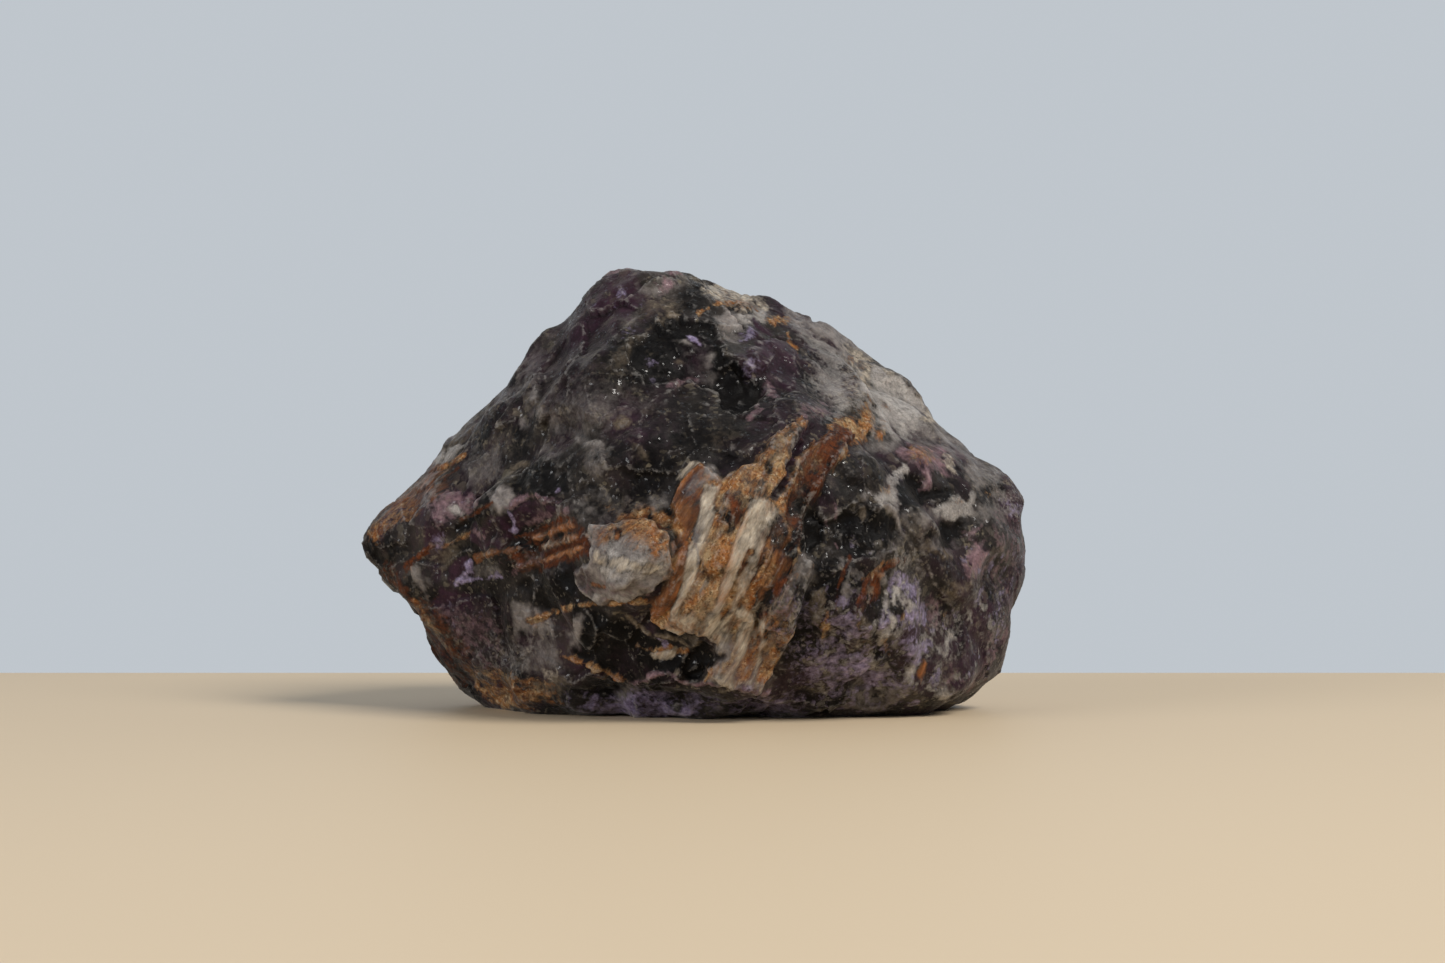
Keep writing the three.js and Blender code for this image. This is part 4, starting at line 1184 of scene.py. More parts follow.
    def face_growths(self, points: Points) -> tuple[dict[Growth, Values], Values]:
        """Lays the patches of the veined face over each other.

        Args:
            points: The surface's points.

        Returns:
            The cover of each growth, and how far the patches lift the surface.
        """
        ragged = LATTICE.waves(points, 1.6, channel=1)
        straight = 0.6 * LATTICE.waves(self.along_blades(points), 1.3, channel=7)
        sway = [LATTICE.waves(points, 2.6, channel=8 + axis) for axis in range(2)]
        wandering = self.seen + self.tearing.sway * np.stack(sway, axis=1)
        covers = {growth: np.zeros(len(points)) for growth in Growth}
        lift = np.zeros(len(points))
        for patch in laid_patches():
            corners = patch.corners
            margin = self.tearing.margin + patch.edge
            within = (self.seen > corners.min(axis=0) - margin) & (self.seen < corners.max(axis=0) + margin)
            near = np.flatnonzero(np.all(within, axis=1))
            if FINISHES[patch.growth].bladed:
                inside = patch.inside(self.seen[near])
                inside += straight[near] * (self.tearing.bladed + self.tearing.by_edge * patch.edge)
            else:
                inside = patch.inside(wandering[near])
                inside += ragged[near] * (self.tearing.plain + self.tearing.by_edge * patch.edge)
            cover = patch.cover * smoothstep(-patch.edge / 2.0, patch.edge / 2.0, inside)
            self.lay_over(covers, cover, near)
            covers[patch.growth][near] += cover
            step = min(self.tearing.least_step + patch.edge / 2.0, self.tearing.widest_step)
            lift[near] += patch.lift * smoothstep(-0.1, step, inside)
        return covers, lift * self.front

    @staticmethod
    def lay_over(covers: dict[Growth, Values], cover: Values, near: np.ndarray | slice = slice(None)) -> None:
        """Hides every growth by so much at some of the points, before a new one is laid there."""
        for growth in Growth:
            covers[growth][near] *= 1.0 - cover

    def wild_growths(self, points: Points) -> dict[Growth, Values]:
        """Carries the veins and veils on through the stone, for the sides that the viewer doesn't see.

        Args:
            points: The surface's points.

        Returns:
            The cover of each growth.
        """
        covers = {growth: np.zeros(len(points)) for growth in Growth}
        mood = LATTICE.waves(points, 15.0, channel=3)
        drift = LATTICE.waves(points, 11.0, channel=4)
        covers[PLUM] = 0.9 * smoothstep(0.1, 0.6, mood)
        covers[SOOT] = 0.8 * smoothstep(0.0, 0.7, -mood)
        covers[VEIL] = 0.75 * smoothstep(0.0, 0.7, drift)
        covers[LILAC_AND_SHEEN] = 0.5 * smoothstep(0.5, 0.9, drift + 0.4 * mood)
        covers[BEIGE] = 0.5 * smoothstep(0.25, 0.8, -drift)
        covers[BLUSH] = 0.5 * smoothstep(0.2, 0.7, LATTICE.waves(points, 9.0, channel=5))
        self.lay_hidden_veins(points, covers)
        foot = smoothstep(9.0, 2.0, points[:, 2] + 2.0 * drift) * smoothstep(6.0, -14.0, points[:, 0])
        covers[RUST] = np.maximum(covers[RUST], 0.45 * foot)
        covers[OCHRE] = np.maximum(covers[OCHRE], 0.4 * foot * smoothstep(-0.2, 0.4, drift))
        return covers

    def lay_hidden_veins(self, points: Points, covers: dict[Growth, Values]) -> None:
        """Lays the bladed veins of the hidden sides over the growths there.

        Args:
            points: The surface's points.
            covers: The cover of each growth, which is changed.
        """
        across = points[:, [0, 2]] @ np.array(self.blade_lean)
        across += 3.0 * LATTICE.waves(points, 17.0, 2, channel=2)
        across += 0.7 * LATTICE.waves(points, 5.0, channel=6)
        lean = self.hidden_lean * (points[:, 1] - self.face_depth)
        swell = 1.0 + 0.9 * LATTICE.waves(points, 13.0, 2, channel=9)
        torn = 0.7 * LATTICE.waves(points, 1.8, channel=11)
        torn -= 2.5 * smoothstep(0.1, 0.5, LATTICE.waves(points, 8.0, 2, channel=12))
        bent = 0.8 * LATTICE.waves(points, 7.0, 2, channel=10)
        for vein in self.hidden_veins:
            inside = vein.reach * swell - np.abs(across - vein.centre - lean) + torn
            band = smoothstep(-0.7, 0.9, inside)
            self.lay_over(covers, band)
            blade = (across - vein.centre) / self.hidden_blade_width + bent
            later = smoothstep(0.3, 0.7, blade - np.floor(blade))
            for side, share in ((0, 1.0 - later), (1, later)):
                level = np.zeros(len(points))
                cells = np.stack([np.floor(blade) + side, level + vein.centre, level], axis=1)
                pick = np.floor(self.blade_numbers(cells) * len(self.hidden_blades)).astype(int)
                for number, growth in enumerate(self.hidden_blades):
                    covers[growth] += band * share * (pick == number)

    @staticmethod
    def blade_numbers(cells: np.ndarray) -> Values:
        """A repeatable random number for each blade of a vein."""
        return LATTICE.scatter(cells, 90)

    def along_blades(self, points: Points) -> Points:
        """The points turned and squeezed, so that patterns on them come out drawn along the blades.

        Args:
            points: The surface's points.

        Returns:
            Their places across the blades, into the stone and, squeezed, along the blades.
        """
        x, y, z = points.T
        among_bars = x < self.bar_edge
        lean_x, lean_z = np.where(among_bars[:, None], self.bar_lean, self.blade_lean).T
        along = (z * lean_x - x * lean_z) / self.blade_stretch
        return np.stack([x * lean_x + z * lean_z, y, along], axis=1)

    def bladed(self) -> Values:
        """Where the growths that split into blades are."""
        bladed = sum(self.covers[growth] for growth, finish in FINISHES.items() if finish.bladed)
        return np.clip(bladed, 0.0, 1.0)

    def relief(self, points: Points) -> Values:
        """The height of the broken surface over the smoothed CAD shape.

        Args:
            points: The surface's points.

        Returns:
            The height at each point.
        """
        broken = self.breakage
        bladed = self.bladed()
        powder = np.clip(self.covers[OCHRE] + self.covers[BEIGE], 0.0, 1.0)
        warp = np.stack([LATTICE.waves(points, 3.0, 2, channel=20 + axis) for axis in range(3)], axis=1)
        bent = points + 0.35 * warp
        hackly = smoothstep(-0.5, 0.6, LATTICE.waves(points, 12.0, 2, channel=25))
        height = np.zeros(len(points))
        for hackle in broken.hackles:
            tilt = hackle.tilt + hackle.hackly_tilt * hackly
            height += LATTICE.facets(bent, hackle.cell, tilt, hackle.channel)
        calm = broken.calm_blades * bladed + broken.calm_frost * self.covers[FROST]
        height *= broken.height - np.clip(calm, 0.0, broken.calmest)
        height *= 1.0 - broken.rubbed_off * smoothstep(*broken.rubbed, points[:, 0])
        across = self.along_blades(points)[:, 0] + 0.3 * LATTICE.waves(points, 4.0, 2, channel=60)
        long_way = np.floor(LATTICE.waves(points, 14.0, 1, channel=61) * 2.0)
        for width, rise in broken.blade_steps:
            blade = np.floor(across / width)
            cells = np.stack([blade, long_way, np.full(len(points), width * 10.0)], axis=1)
            slope = broken.blade_slope * (0.5 - (across / width - blade))
            height += rise * bladed * (self.blade_numbers(cells) - 0.5 + slope)
        height += broken.grain * powder * LATTICE.waves(points, 0.9, 2, channel=62)
        height -= broken.pore * powder * smoothstep(0.55, 0.9, LATTICE.waves(points, 1.7, 2, channel=63))
        return self.lift + height

    def ridges(self, shell: bmesh.types.BMesh, points: Points, reach: int, sharpest: float) -> Values:
        """How far each point stands out from its surroundings.

        Args:
            shell: The mesh, for its edges and normals.
            points: Its points.
            reach: How many mesh edges far the surroundings go.
            sharpest: The height that counts as a full ridge.

        Returns:
            About 1 on ridges, 0 on flats and -1 in hollows.
        """
        shell.normal_update()
        normals = np.array([vert.normal for vert in shell.verts])
        ends = self.edge_ends(shell)
        around = np.stack([self.spread(ends, points[:, axis], reach) for axis in range(3)], axis=1)
        stand = np.einsum("ij,ij->i", points - around, normals)
        return np.clip(stand / sharpest, -1.0, 1.0)

    @staticmethod
    def spread(ends: np.ndarray, values: Values, passes: int) -> Values:
        """Lets values soak into their surroundings along the mesh.

        Args:
            ends: The two vertices of each mesh edge.
            values: A number for each vertex.
            passes: How many edges far they soak.

        Returns:
            The softened numbers.
        """
        count = len(values)
        degree = np.bincount(ends.ravel(), minlength=count)
        for _ in range(passes):
            total = np.bincount(ends[:, 0], values[ends[:, 1]], count)
            total += np.bincount(ends[:, 1], values[ends[:, 0]], count)
            values = total / degree
        return values


# ---------------------------------------------------------------- shader building


class Wire:
    """A shader value that Python's operators can work on."""

    def __init__(self, bench: "Bench", socket: bpy.types.NodeSocket) -> None:
        """Wraps a node's output socket."""
        self.bench = bench
        self.socket = socket

    def _maths(self, operation: str, first: object, second: object = 0.0, clamp: bool = False) -> "Wire":
        """Adds a Math node.

        Args:
            operation: The Math node's operation.
            first: Its first value or wire.
            second: Its second value or wire.
            clamp: Whether the result is kept from 0 to 1.

        Returns:
            The node's result.
        """
        settings = {"operation": operation, "use_clamp": clamp}
        return self.bench.node("ShaderNodeMath", settings, {0: first, 1: second})

    def __add__(self, other: object) -> "Wire":
        """This plus the other."""
        return self._maths("ADD", self, other)

    __radd__ = __add__

    def __sub__(self, other: object) -> "Wire":
        """This minus the other."""
        return self._maths("SUBTRACT", self, other)

    def __rsub__(self, other: object) -> "Wire":
        """The other minus this."""
        return self._maths("SUBTRACT", other, self)

    def __mul__(self, other: object) -> "Wire":
        """This times the other."""
        return self._maths("MULTIPLY", self, other)

    __rmul__ = __mul__

    def __truediv__(self, other: object) -> "Wire":
        """This divided by the other."""
        return self._maths("DIVIDE", self, other)

    def clamped(self) -> "Wire":
        """This kept from 0 to 1."""
        return self._maths("ADD", self, 0.0, clamp=True)

    def rise(self, low: float, high: float) -> "Wire":
        """A straight rise from 0 at low to 1 at high."""
        return ((self - low) / (high - low)).clamped()


class Bench:
    """A node tree, built one node at a time."""

    def __init__(self, owner: bpy.types.Material | bpy.types.World) -> None:
        """Clears the node tree of a material or a world, to start afresh."""
        owner.use_nodes = True
        self.tree = owner.node_tree
        self.tree.nodes.clear()

    def node(self, kind: str, settings: dict, inputs: dict, output: object = 0) -> Wire:
        """Adds any node.

        Args:
            kind: The node's type.
            settings: Its own properties, set before its sockets.
            inputs: Values or wires for its sockets, by name or number.
            output: Which output is wanted, by name or number.

        Returns:
            That output.
        """
        made = self.tree.nodes.new(kind)
        for name, value in settings.items():
            setattr(made, name, value)
        for key, value in inputs.items():
            if isinstance(value, Wire):
                self.tree.links.new(value.socket, made.inputs[key])
            else:
                made.inputs[key].default_value = value
        return Wire(self, made.outputs[output])

    def attribute(self, name: str) -> Wire:
        """A number that the mesh stores for each vertex."""
        return self.node("ShaderNodeAttribute", {"attribute_name": name}, {}, "Fac")

    def blend(self, factor: object, first: object, second: object) -> Wire:
        """Mixes two colours.

        Args:
            factor: How much of the second shows.
            first: The colour at 0.
            second: The colour at 1.

        Returns:
            The mixed colour.
        """
        return self.node("ShaderNodeMix", {"data_type": "RGBA"}, {0: factor, 6: first, 7: second}, 2)

    def vector(self, operation: str, inputs: dict) -> Wire:
        """Adds a Vector Math node."""
        return self.node("ShaderNodeVectorMath", {"operation": operation}, inputs)

    def noise(
        self, place: Wire, scale: float, detail: float = 4.0, rough: float = 0.55, twist: float = 0.0
    ) -> Wire:
        """A noise pattern, spread to fill the range from 0 to 1.

        Args:
            place: Where on the stone, in millimetres.
            scale: Waves to a millimetre.
            detail: How many finer layers it has.
            rough: How strong the finer layers are.
            twist: How much it is bent.

        Returns:
            The pattern's value.
        """
        inputs = {"Vector": place, "Scale": scale, "Detail": detail, "Roughness": rough, "Distortion": twist}
        return self.node("ShaderNodeTexNoise", {}, inputs, 0).rise(0.35, 0.65)

    def bent(self, place: Wire, by: float) -> Wire:
        """The same place moved a little at random, so that straight borders turn ragged."""
        inputs = {"Vector": place, "Scale": 0.9, "Detail": 3.0}
        sway = self.node("ShaderNodeTexNoise", {}, inputs, "Color")
        return self.vector("ADD", {0: place, 1: self.vector("SCALE", {0: sway, "Scale": 2.0 * by})})

    def crystals(self, place: Wire, scale: float, ragged: float) -> Wire:
        """A random colour for each small crystal.

        Args:
            place: Where on the stone, in millimetres.
            scale: Crystals to a millimetre.
            ragged: How ragged their borders are.

        Returns:
            The colour.
        """
        inputs = {"Vector": self.bent(place, ragged), "Scale": scale}
        return self.node("ShaderNodeTexVoronoi", {"feature": "F1"}, inputs, "Color")

    def finish(self, kind: str, shader: Wire) -> None:
        """Puts the shader on an output node of that kind."""
        output = self.tree.nodes.new(kind)
        self.tree.links.new(shader.socket, output.inputs["Surface"])

    def shift(self, place: Wire, by: float) -> Wire:
        """The same place moved, so that a pattern is cut from another part of the noise."""
        return self.vector("ADD", {0: place, 1: (by, by * 1.7, -by)})


def paint(red: int, green: int, blue: int) -> Colour:
    """A display colour, from 0 to 255, as the shader's own linear colour."""
    parts = (part / 255.0 for part in (red, green, blue))
    linear = [part / 12.92 if part <= 0.04045 else ((part + 0.055) / 1.055) ** 2.4 for part in parts]
    return (*linear, 1.0)


@dataclass(frozen=True)
class GrowthFinish:
    """How one growth looks.

    Attributes:
        dark: Its colour in the hollows of its own pattern.
        light: Its colour on the crests.
        rough: How matte it is.
        grain: Mottles to a millimetre.
        tear: How fine the noise is that tears its edge, waves to a millimetre.
        melt: How softly it fades into what lies under it.
        bladed: Whether its pattern is drawn out along the vein's blades.
        body: The way it takes light.
    """

    dark: Colour
    light: Colour
    rough: float
    grain: float
    tear: float
    melt: float
    bladed: bool
    body: Body


FINISHES = {
    VEIL: GrowthFinish(paint(92, 86, 84), paint(143, 136, 132), 0.42, 1.0, 1.1, 2.8, False, Body.CRYSTAL),
    BEIGE: GrowthFinish(paint(80, 70, 58), paint(122, 110, 95), 0.7, 1.4, 1.4, 1.8, False, Body.POWDER),
    PLUM: GrowthFinish(paint(34, 19, 29), paint(58, 36, 50), 0.42, 0.7, 0.8, 2.8, False, Body.GLASS),
    SOOT: GrowthFinish(paint(5, 4, 5), paint(13, 12, 13), 0.5, 1.0, 1.0, 2.2, False, Body.GLASS),
    FROST: GrowthFinish(paint(104, 99, 96), paint(190, 184, 178), 0.42, 1.3, 1.3, 1.5, False, Body.CRYSTAL),
    BLUSH: GrowthFinish(paint(82, 59, 68), paint(146, 116, 122), 0.45, 1.3, 1.1, 1.6, False, Body.CRYSTAL),
    LILAC_AND_SHEEN: GrowthFinish(paint(80, 66, 94), paint(170, 158, 190), 0.38, 1.4, 1.3, 1.4, False, Body.CRYSTAL),
    TAN: GrowthFinish(paint(50, 27, 12), paint(142, 86, 44), 0.42, 0.8, 1.0, 1.5, True, Body.CRYSTAL),
    MILK: GrowthFinish(paint(104, 94, 83), paint(200, 188, 170), 0.42, 1.1, 1.3, 1.3, True, Body.CRYSTAL),
    OCHRE: GrowthFinish(paint(102, 63, 32), paint(182, 138, 91), 0.88, 2.0, 1.6, 1.3, True, Body.POWDER),
    RUST: GrowthFinish(paint(40, 18, 8), paint(110, 58, 29), 0.65, 1.3, 1.3, 1.2, True, Body.POWDER),
}


@dataclass(frozen=True)
class OchreGrains:
    """The grains on the ochre.

    Attributes:
        sandy: Its paler stretches.
        brick: Its darker stretches.
        rusty: Its rusty grains.
        straw: Its pale grains.
        pit: Its pits.
    """

    sandy: Colour = paint(160, 146, 116)
    brick: Colour = paint(138, 80, 38)
    rusty: Colour = paint(118, 64, 28)
    straw: Colour = paint(206, 190, 158)
    pit: Colour = paint(58, 34, 20)

    def over(self, bench: Bench, place: Wire, tint: Wire) -> Wire:
        """Lays the grains over the ochre.

        Args:
            bench: The material under construction.
            place: Where on the stone, in millimetres.
            tint: The ochre's colour so far.

        Returns:
            The colour with its grains.
        """
        tone = bench.noise(bench.shift(place, 2.0), 0.35, 4.0, 0.6)
        rusty = bench.noise(place, 1.3, 5.0, 0.75).rise(0.5, 0.95)
        straw = bench.noise(bench.shift(place, 3.0), 1.6, 5.0, 0.75).rise(0.6, 1.0)
        pits = bench.noise(bench.shift(place, 6.0), 3.2, 2.0).rise(0.72, 0.95)
        tint = bench.blend(tone.rise(0.45, 1.0) * 0.6, tint, self.sandy)
        tint = bench.blend(tone.rise(0.55, 0.0) * 0.7, tint, self.brick)
        tint = bench.blend(rusty * 0.7, tint, self.rusty)
        tint = bench.blend(straw * 0.6, tint, self.straw)
        return bench.blend(pits * 0.6, tint, self.pit)


@dataclass(frozen=True)
class StoneFinish:
    """The whole chunk's finish: smoky fluorite with every growth laid over it.

    Attributes:
        deep: The smoky fluorite's darkest colour.
        smoke: Its usual grey.
        olive: Its brownish grey.
        mauve: Its purplish grey.
        haze: The fog and threads in it.
        chip: Its small pale chips.
        soaked: Milky crystal that the stains have soaked.
        bruise: Its bruised ridges.
        crease_shade: Painted shade in its creases.
        shade: Painted shade in its deepest hollows.
        bloom: The faint dusty sheen on it.
        base_rough: How matte the smoky fluorite is at its smoothest.
        depth_reach: How far light spreads inside the milky growths, in millimetres.
        bump_depth: How deep the smallest grain is, in millimetres.
        ochre_grains: The grains on the ochre.
    """

    deep: Colour = paint(13, 11, 12)
    smoke: Colour = paint(62, 58, 58)
    olive: Colour = paint(67, 60, 53)
    mauve: Colour = paint(66, 40, 58)
    haze: Colour = paint(118, 109, 99)
    chip: Colour = paint(128, 119, 102)
    soaked: Colour = paint(168, 112, 62)
    bruise: Colour = paint(170, 166, 162)
    crease_shade: Colour = paint(26, 23, 21)
    shade: Colour = paint(12, 10, 10)
    bloom: Colour = paint(226, 222, 214)
    base_rough: float = 0.34
    depth_reach: float = 1.2
    bump_depth: float = 0.25
    ochre_grains: OchreGrains = OchreGrains()

    def material(self) -> bpy.types.Material:
        """Builds the finish.

        Returns:
            The material.
        """
        material = bpy.data.materials.new("rainbow_fluorite")
        bench = Bench(material)
        object_place = bench.node("ShaderNodeTexCoord", {}, {}, "Object")
        place = bench.vector("SCALE", {0: object_place, "Scale": 1.0 / MM})
        bladed_place = bench.node("ShaderNodeAttribute", {"attribute_name": "blade_place"}, {}, "Vector")
        colour = self.smoky_body(bench, place)
        rough = bench.noise(place, 1.2) * 0.2 + self.base_rough
        crystal = 0.0
        powder = 0.0
        stain = bench.attribute("stain")
        for number, (growth, finish) in enumerate(FINISHES.items()):
            moved = bench.shift(bladed_place if finish.bladed else place, 13.0 * (number + 1))
            tear = bench.noise(moved, finish.tear, 5.0, 0.62, 0.4)
            part = ((bench.attribute(growth.value) * (0.93 + finish.melt) - tear) / finish.melt).clamped()
            grained = bench.shift(place, 9.0) if finish.body is Body.POWDER else moved
            tint = self.mottled(bench, grained, finish)
            if growth is OCHRE:
                tint = self.ochre_grains.over(bench, grained, tint)
            if finish.body is Body.CRYSTAL:
                soak = stain * 2.4 - bench.noise(bench.shift(moved, 4.0), 0.7, 5.0, 0.7)
                tint = bench.blend(soak.clamped() * 0.65, tint, self.soaked)
            colour = bench.blend(part, colour, tint)
            rough = rough * (1.0 - part) + part * finish.rough
            crystal = crystal * (1.0 - part) + part * float(finish.body is Body.CRYSTAL)
            powder = powder * (1.0 - part) + part * float(finish.body is Body.POWDER)
        # bruised ridges, and painted shade in the creases and the broad hollows
        colour, rough = self.worn_and_shaded(bench, place, colour, rough)
        normal = self.shards(bench, place, bladed_place, crystal, powder)
        mirrors = self.mosaic(bench, bench.shift(place, 53.0), 3.0).rise(0.94, 0.96)
        glints = mirrors * 0.8 * (1.0 - powder) * (1.0 - 0.6 * crystal)
        shader = self.four_bodies(bench, colour, rough, normal, crystal, powder, glints)
        bench.finish("ShaderNodeOutputMaterial", shader)
        return material

    @staticmethod
    def mottled(bench: Bench, place: Wire, finish: GrowthFinish) -> Wire:
        """A growth's own colour, from its hollows to its crests.

        Args:
            bench: The material under construction.
            place: Where in the growth's pattern, in millimetres.
            finish: How the growth looks.

        Returns:
            The colour.
        """
        fibre = 0.64 if finish.bladed and finish.body is Body.CRYSTAL else 0.7
        mottle = bench.noise(place, finish.grain, 6.0, fibre) * 0.8 + bench.noise(place, 3.4, 2.0) * 0.2
        return bench.blend(mottle, finish.dark, finish.light)

    def smoky_body(self, bench: Bench, place: Wire) -> Wire:
        """The colour of the smoky fluorite itself, with wisps and pale specks in it.

        Args:
            bench: The material under construction.
            place: Where on the stone, in millimetres.

        Returns:
            The colour.
        """
        clouds = bench.noise(place, 0.1, 5.0, 0.54, 0.6)
        warm = bench.noise(bench.shift(place, 5.0), 0.16, 5.0, 0.6, 0.5)
        mauve = bench.noise(bench.shift(place, 41.0), 0.1, 4.0, 0.6, 0.5)
        mosaic = self.mosaic(bench, place, 0.8)
        chips = self.mosaic(bench, bench.shift(place, 7.0), 2.0)
        grey = bench.blend(warm, self.smoke, self.olive)
        grey = bench.blend(mauve.rise(0.4, 0.9) * 0.8, grey, self.mauve)
        depth = (clouds * 0.75 + mosaic * 0.15 + chips * 0.1 - 0.22).clamped()
        colour = bench.blend(depth, self.deep, grey)
        crowd = bench.noise(bench.shift(place, 19.0), 0.07, 3.0, 0.6)
        blots = bench.noise(bench.shift(place, 29.0), 0.3, 7.0, 0.66, 0.5)
        fog = (blots + crowd * 0.7 - 1.05).rise(0.0, 0.65) * 0.45
        colour = bench.blend(fog * (0.5 + 0.5 * mosaic), colour, self.haze)
        threads = bench.noise(bench.shift(place, 9.0), 0.4, 7.0, 0.7, 1.4)
        colour = bench.blend(threads.rise(0.85, 1.0) * crowd * 0.4, colour, self.haze)
        fleck = mosaic.rise(0.9, 0.95) * crowd.rise(0.4, 0.9) * 0.35
        colour = bench.blend(fleck, colour, self.chip)
        crumbs = chips.rise(0.8, 0.86) * blots.rise(0.5, 0.85) * 0.5
        return bench.blend(crumbs, colour, self.chip)

    @staticmethod
    def mosaic(bench: Bench, place: Wire, scale: float) -> Wire:
        """Random shades, one for each small broken crystal.

        Args:
            bench: The material under construction.
            place: Where on the stone, in millimetres.
            scale: Crystals to a millimetre.

        Returns:
            The shade, from 0 to 1.
        """
        return bench.node("ShaderNodeSeparateColor", {}, {"Color": bench.crystals(place, scale, 0.5)}, 0)

    def worn_and_shaded(self, bench: Bench, place: Wire, colour: Wire, rough: Wire) -> tuple[Wire, Wire]:
        """Paler bruised ridges, and painted shade that darkens the creases and the broad hollows.

        Args:
            bench: The material under construction.
            place: Where on the stone, in millimetres.
            colour: The colour so far.
            rough: The roughness so far.

        Returns:
            The new colour and roughness.
        """
        ridge = bench.attribute("ridge")
        chips = bench.noise(bench.shift(place, 23.0), 1.1, 4.0, 0.65)
        bruised = ridge.rise(0.3, 1.0) * chips.rise(0.35, 0.8) * 0.3
        # painted shade: darker in the creases
        crease_shading = ridge.rise(-0.3, -1.2) * 0.45
        # painted shade: darker in the broad hollows
        shaded = bench.attribute("hollow").clamped() * 0.6
        colour = bench.blend(bruised, colour, self.bruise)
        colour = bench.blend(crease_shading, colour, self.crease_shade)
        colour = bench.blend(shaded, colour, self.shade)
        return colour, rough + bruised * 0.2

    def shards(self, bench: Bench, place: Wire, bladed_place: Wire, crystal: Wire, powder: Wire) -> Wire:
        """Tilts the smallest broken facets each its own way, and roughens the powdery growths.

        Args:
            bench: The material under construction.
            place: Where on the stone, in millimetres.
            bladed_place: The same, squeezed along the blades.
            crystal: Where the milky growths are.
            powder: Where the powdery growths are.

        Returns:
            The bumped normal.
        """
        normal = bench.node("ShaderNodeNewGeometry", {}, {}, "Normal")
        for scale, tilt in ((0.4, 0.2), (1.2, 0.18)):
            lean = bench.vector("SUBTRACT", {0: bench.crystals(place, scale, 0.4), 1: (0.5, 0.5, 0.5)})
            share = (1.0 - powder) * (1.0 - crystal * 0.5) * tilt
            normal = bench.vector("ADD", {0: normal, 1: bench.vector("SCALE", {0: lean, "Scale": share})})
        normal = bench.vector("NORMALIZE", {0: normal})
        fine = bench.noise(place, 2.6, 4.0, 0.6)
        grain = bench.noise(bench.shift(place, 31.0), 3.6, 3.0, 0.6)
        grooves = bench.noise(bladed_place, 1.5, 3.0, 0.6) * bench.attribute("bladed")
        height = fine * 0.35 * (1.0 - powder) + grain * powder * 0.8 + grooves * 0.9
        settings = {"Height": height, "Strength": 0.3, "Distance": self.bump_depth * MM, "Normal": normal}
        return bench.node("ShaderNodeBump", {}, settings)

    def four_bodies(
        self, bench: Bench, colour: Wire, rough: Wire, normal: Wire, crystal: Wire, powder: Wire, glints: Wire
    ) -> Wire:
        """Mixes the smoky, milky, powdery and mirror-like ways of taking light.

        Args:
            bench: The material under construction.
            colour: The surface's colour.
            rough: Its roughness.
            normal: Its bumped normal.
            crystal: Where the milky growths are.
            powder: Where the powdery growths are.
            glints: Where small crystal faces mirror the light.

        Returns:
            The shader.
        """
        shared = {"Base Color": colour, "Roughness": rough, "Normal": normal}
        bloom = {"Sheen Weight": 0.12, "Sheen Roughness": 0.4, "Sheen Tint": self.bloom}
        smoky = bench.node("ShaderNodeBsdfPrincipled", {}, {**shared, "Specular IOR Level": 0.07, **bloom})
        depth = {
            "IOR": 1.45,
            "Specular IOR Level": 0.3,
            "Subsurface Weight": 0.35,
            "Subsurface Radius": (1.0, 0.8, 0.7),
            "Subsurface Scale": self.depth_reach * MM,
            **bloom,
        }
        milky = bench.node("ShaderNodeBsdfPrincipled", {}, {**shared, **depth})
        dusty = bench.node("ShaderNodeBsdfPrincipled", {}, {**shared, "Specular IOR Level": 0.1})
        mirror = {"Roughness": 0.16, "Specular IOR Level": 0.8}
        bright = bench.node("ShaderNodeBsdfPrincipled", {}, {**shared, **mirror})
        mixed = bench.node("ShaderNodeMixShader", {}, {0: crystal, 1: smoky, 2: milky})
        mixed = bench.node("ShaderNodeMixShader", {}, {0: glints, 1: mixed, 2: bright})
        return bench.node("ShaderNodeMixShader", {}, {0: powder, 1: mixed, 2: dusty})


# ---------------------------------------------------------------- studio


@dataclass(frozen=True)
class SoftLight:
    """A large soft lamp.

    Attributes:
        name: What the lamp is called.
        place: Where it hangs, in metres.
        size: Its width and height, in metres.
        power: Its strength, in watts.
        tint: Its colour.
    """

    name: str
    place: tuple[float, float, float]
    size: tuple[float, float]
    power: float
    tint: tuple[float, float, float]

    def hang(self, target: Vector) -> None:
        """Hangs the lamp.

        Args:
            target: The place that it faces, in metres.
        """
        lamp = bpy.data.lights.new(self.name, "AREA")
        lamp.shape = "RECTANGLE"
        lamp.size, lamp.size_y = self.size
        lamp.energy = self.power
        lamp.color = self.tint
        holder = bpy.data.objects.new(self.name, lamp)
        holder.location = self.place
        holder.rotation_euler = (target - Vector(self.place)).to_track_quat("-Z", "Y").to_euler()
        bpy.context.scene.collection.objects.link(holder)


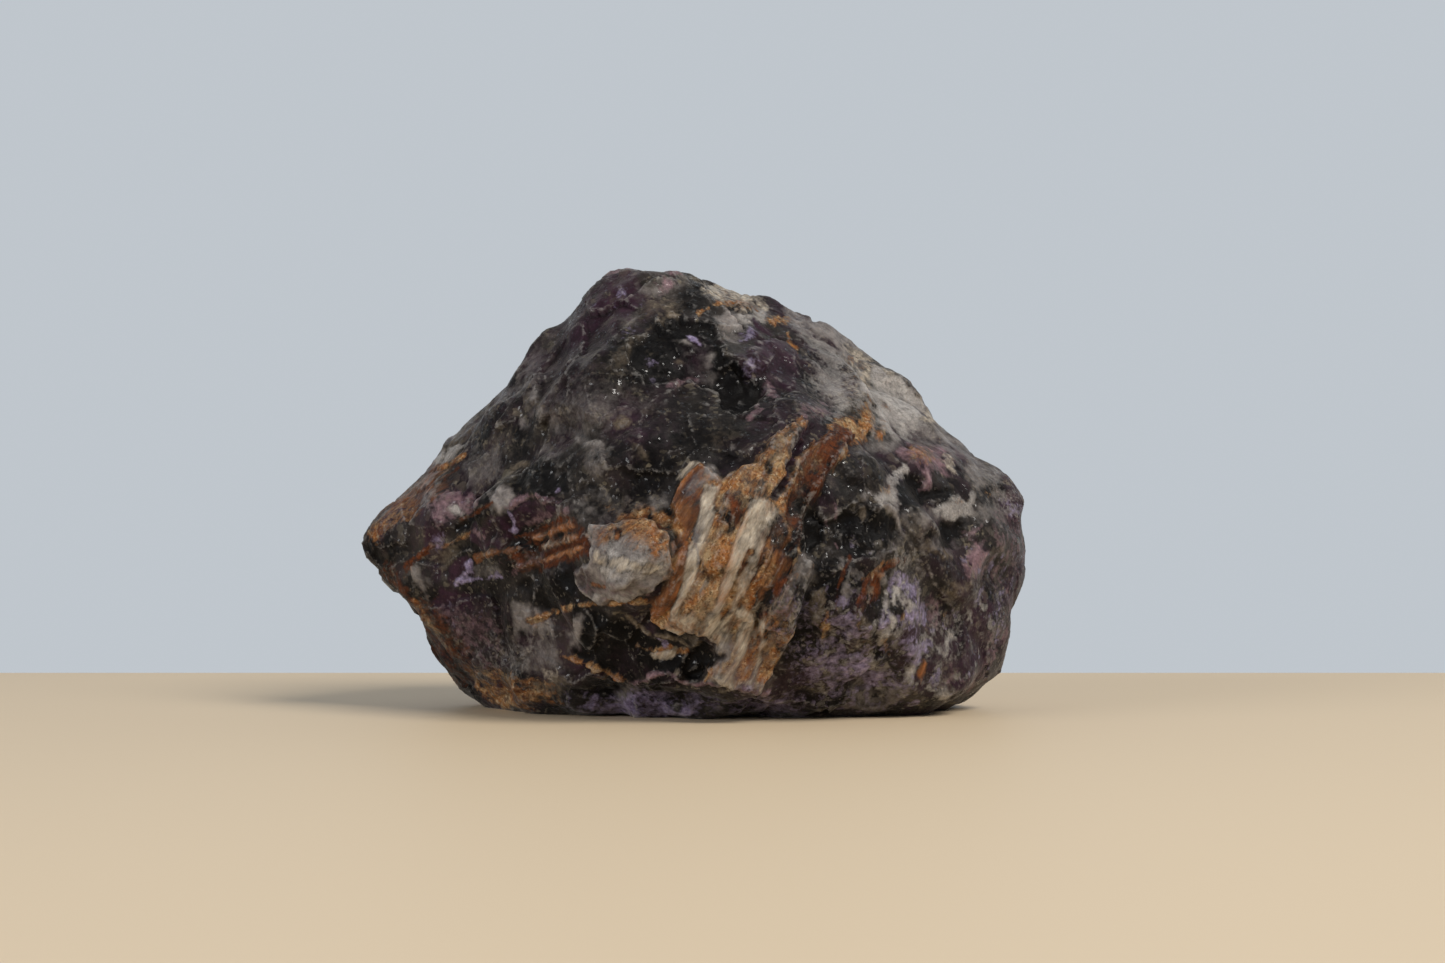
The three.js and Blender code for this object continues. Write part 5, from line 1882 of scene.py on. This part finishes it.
@dataclass
class Studio:
    """The plain floor, soft lamps and camera.

    Attributes:
        floor_reach: Half the floor's width, in metres.
        floor_end: How far behind the stone's middle the floor ends.
        floor_tint: The floor's colour.
        sky_tint: The colour of the light from all round.
        near_strength: How strong that light is from the viewer's side.
        far_strength: How strong it is from beyond the stone.
        lamps: The soft lamps.
    """

    floor_reach: float = 3.0
    floor_end: float = 0.085
    floor_tint: Colour = paint(214, 194, 164)
    sky_tint: Colour = paint(206, 213, 220)
    near_strength: float = 0.26
    far_strength: float = 0.85
    lamps: tuple[SoftLight, ...] = (
        SoftLight("key", (0.64, -0.50, 0.82), (0.5, 0.5), 11.0, (1.0, 0.96, 0.91)),
        SoftLight("fill", (-0.80, -0.55, 0.30), (0.6, 0.6), 4.6, (0.98, 0.98, 1.0)),
    )

    def build(self) -> None:
        """Lays the floor, hangs the lamps and sets the camera."""
        self.lay_floor()
        self.light_sky()
        target = Vector((0.0, 0.0, EYE[2] * MM))
        for lamp in self.lamps:
            lamp.hang(target)
        self.set_camera()

    def lay_floor(self) -> None:
        """Lays the plain pale floor."""
        board = bmesh.new()
        bmesh.ops.create_grid(board, x_segments=1, y_segments=1, size=self.floor_reach)
        bmesh.ops.translate(board, verts=board.verts[:], vec=(0.0, self.floor_end - self.floor_reach, 0.0))
        mesh = bpy.data.meshes.new("floor")
        board.to_mesh(mesh)
        board.free()
        floor = bpy.data.objects.new("floor", mesh)
        bpy.context.scene.collection.objects.link(floor)
        paper = bpy.data.materials.new("floor_paint")
        bench = Bench(paper)
        inputs = {"Base Color": self.floor_tint, "Roughness": 0.55, "Specular IOR Level": 0.3}
        bench.finish("ShaderNodeOutputMaterial", bench.node("ShaderNodeBsdfPrincipled", {}, inputs))
        mesh.materials.append(paper)

    def light_sky(self) -> None:
        """Sets the even light from all round."""
        world = bpy.data.worlds.new("studio_sky")
        bench = Bench(world)
        way = bench.node("ShaderNodeTexCoord", {}, {}, "Generated")
        depth = bench.node("ShaderNodeSeparateXYZ", {}, {"Vector": way}, "Y").rise(-0.1, 0.8)
        strength = depth * (self.far_strength - self.near_strength) + self.near_strength
        light = bench.node("ShaderNodeBackground", {}, {"Color": self.sky_tint, "Strength": strength})
        bench.finish("ShaderNodeOutputWorld", light)
        bpy.context.scene.world = world

    @staticmethod
    def set_camera() -> None:
        """Stands the camera at the viewer's eye, level and looking along +Y."""
        camera = bpy.data.cameras.new("camera")
        camera.lens = EYE_LENS
        camera.sensor_width = SENSOR_WIDTH
        camera.clip_start = 0.01
        holder = bpy.data.objects.new("camera", camera)
        holder.location = Vector(EYE * MM)
        holder.rotation_euler = (np.pi / 2.0, 0.0, 0.0)
        bpy.context.scene.collection.objects.link(holder)
        bpy.context.scene.camera = holder


def main() -> None:
    """Builds the chunk, its finish and the studio, and logs the chunk's face count."""
    logging.basicConfig(level=logging.INFO, format="%(name)s: %(message)s")
    stone = FluoriteChunk().build()
    stone.data.materials.append(StoneFinish().material())
    Studio().build()
    bpy.context.scene.view_settings.view_transform = "Standard"


if __name__ == "__main__":
    main()
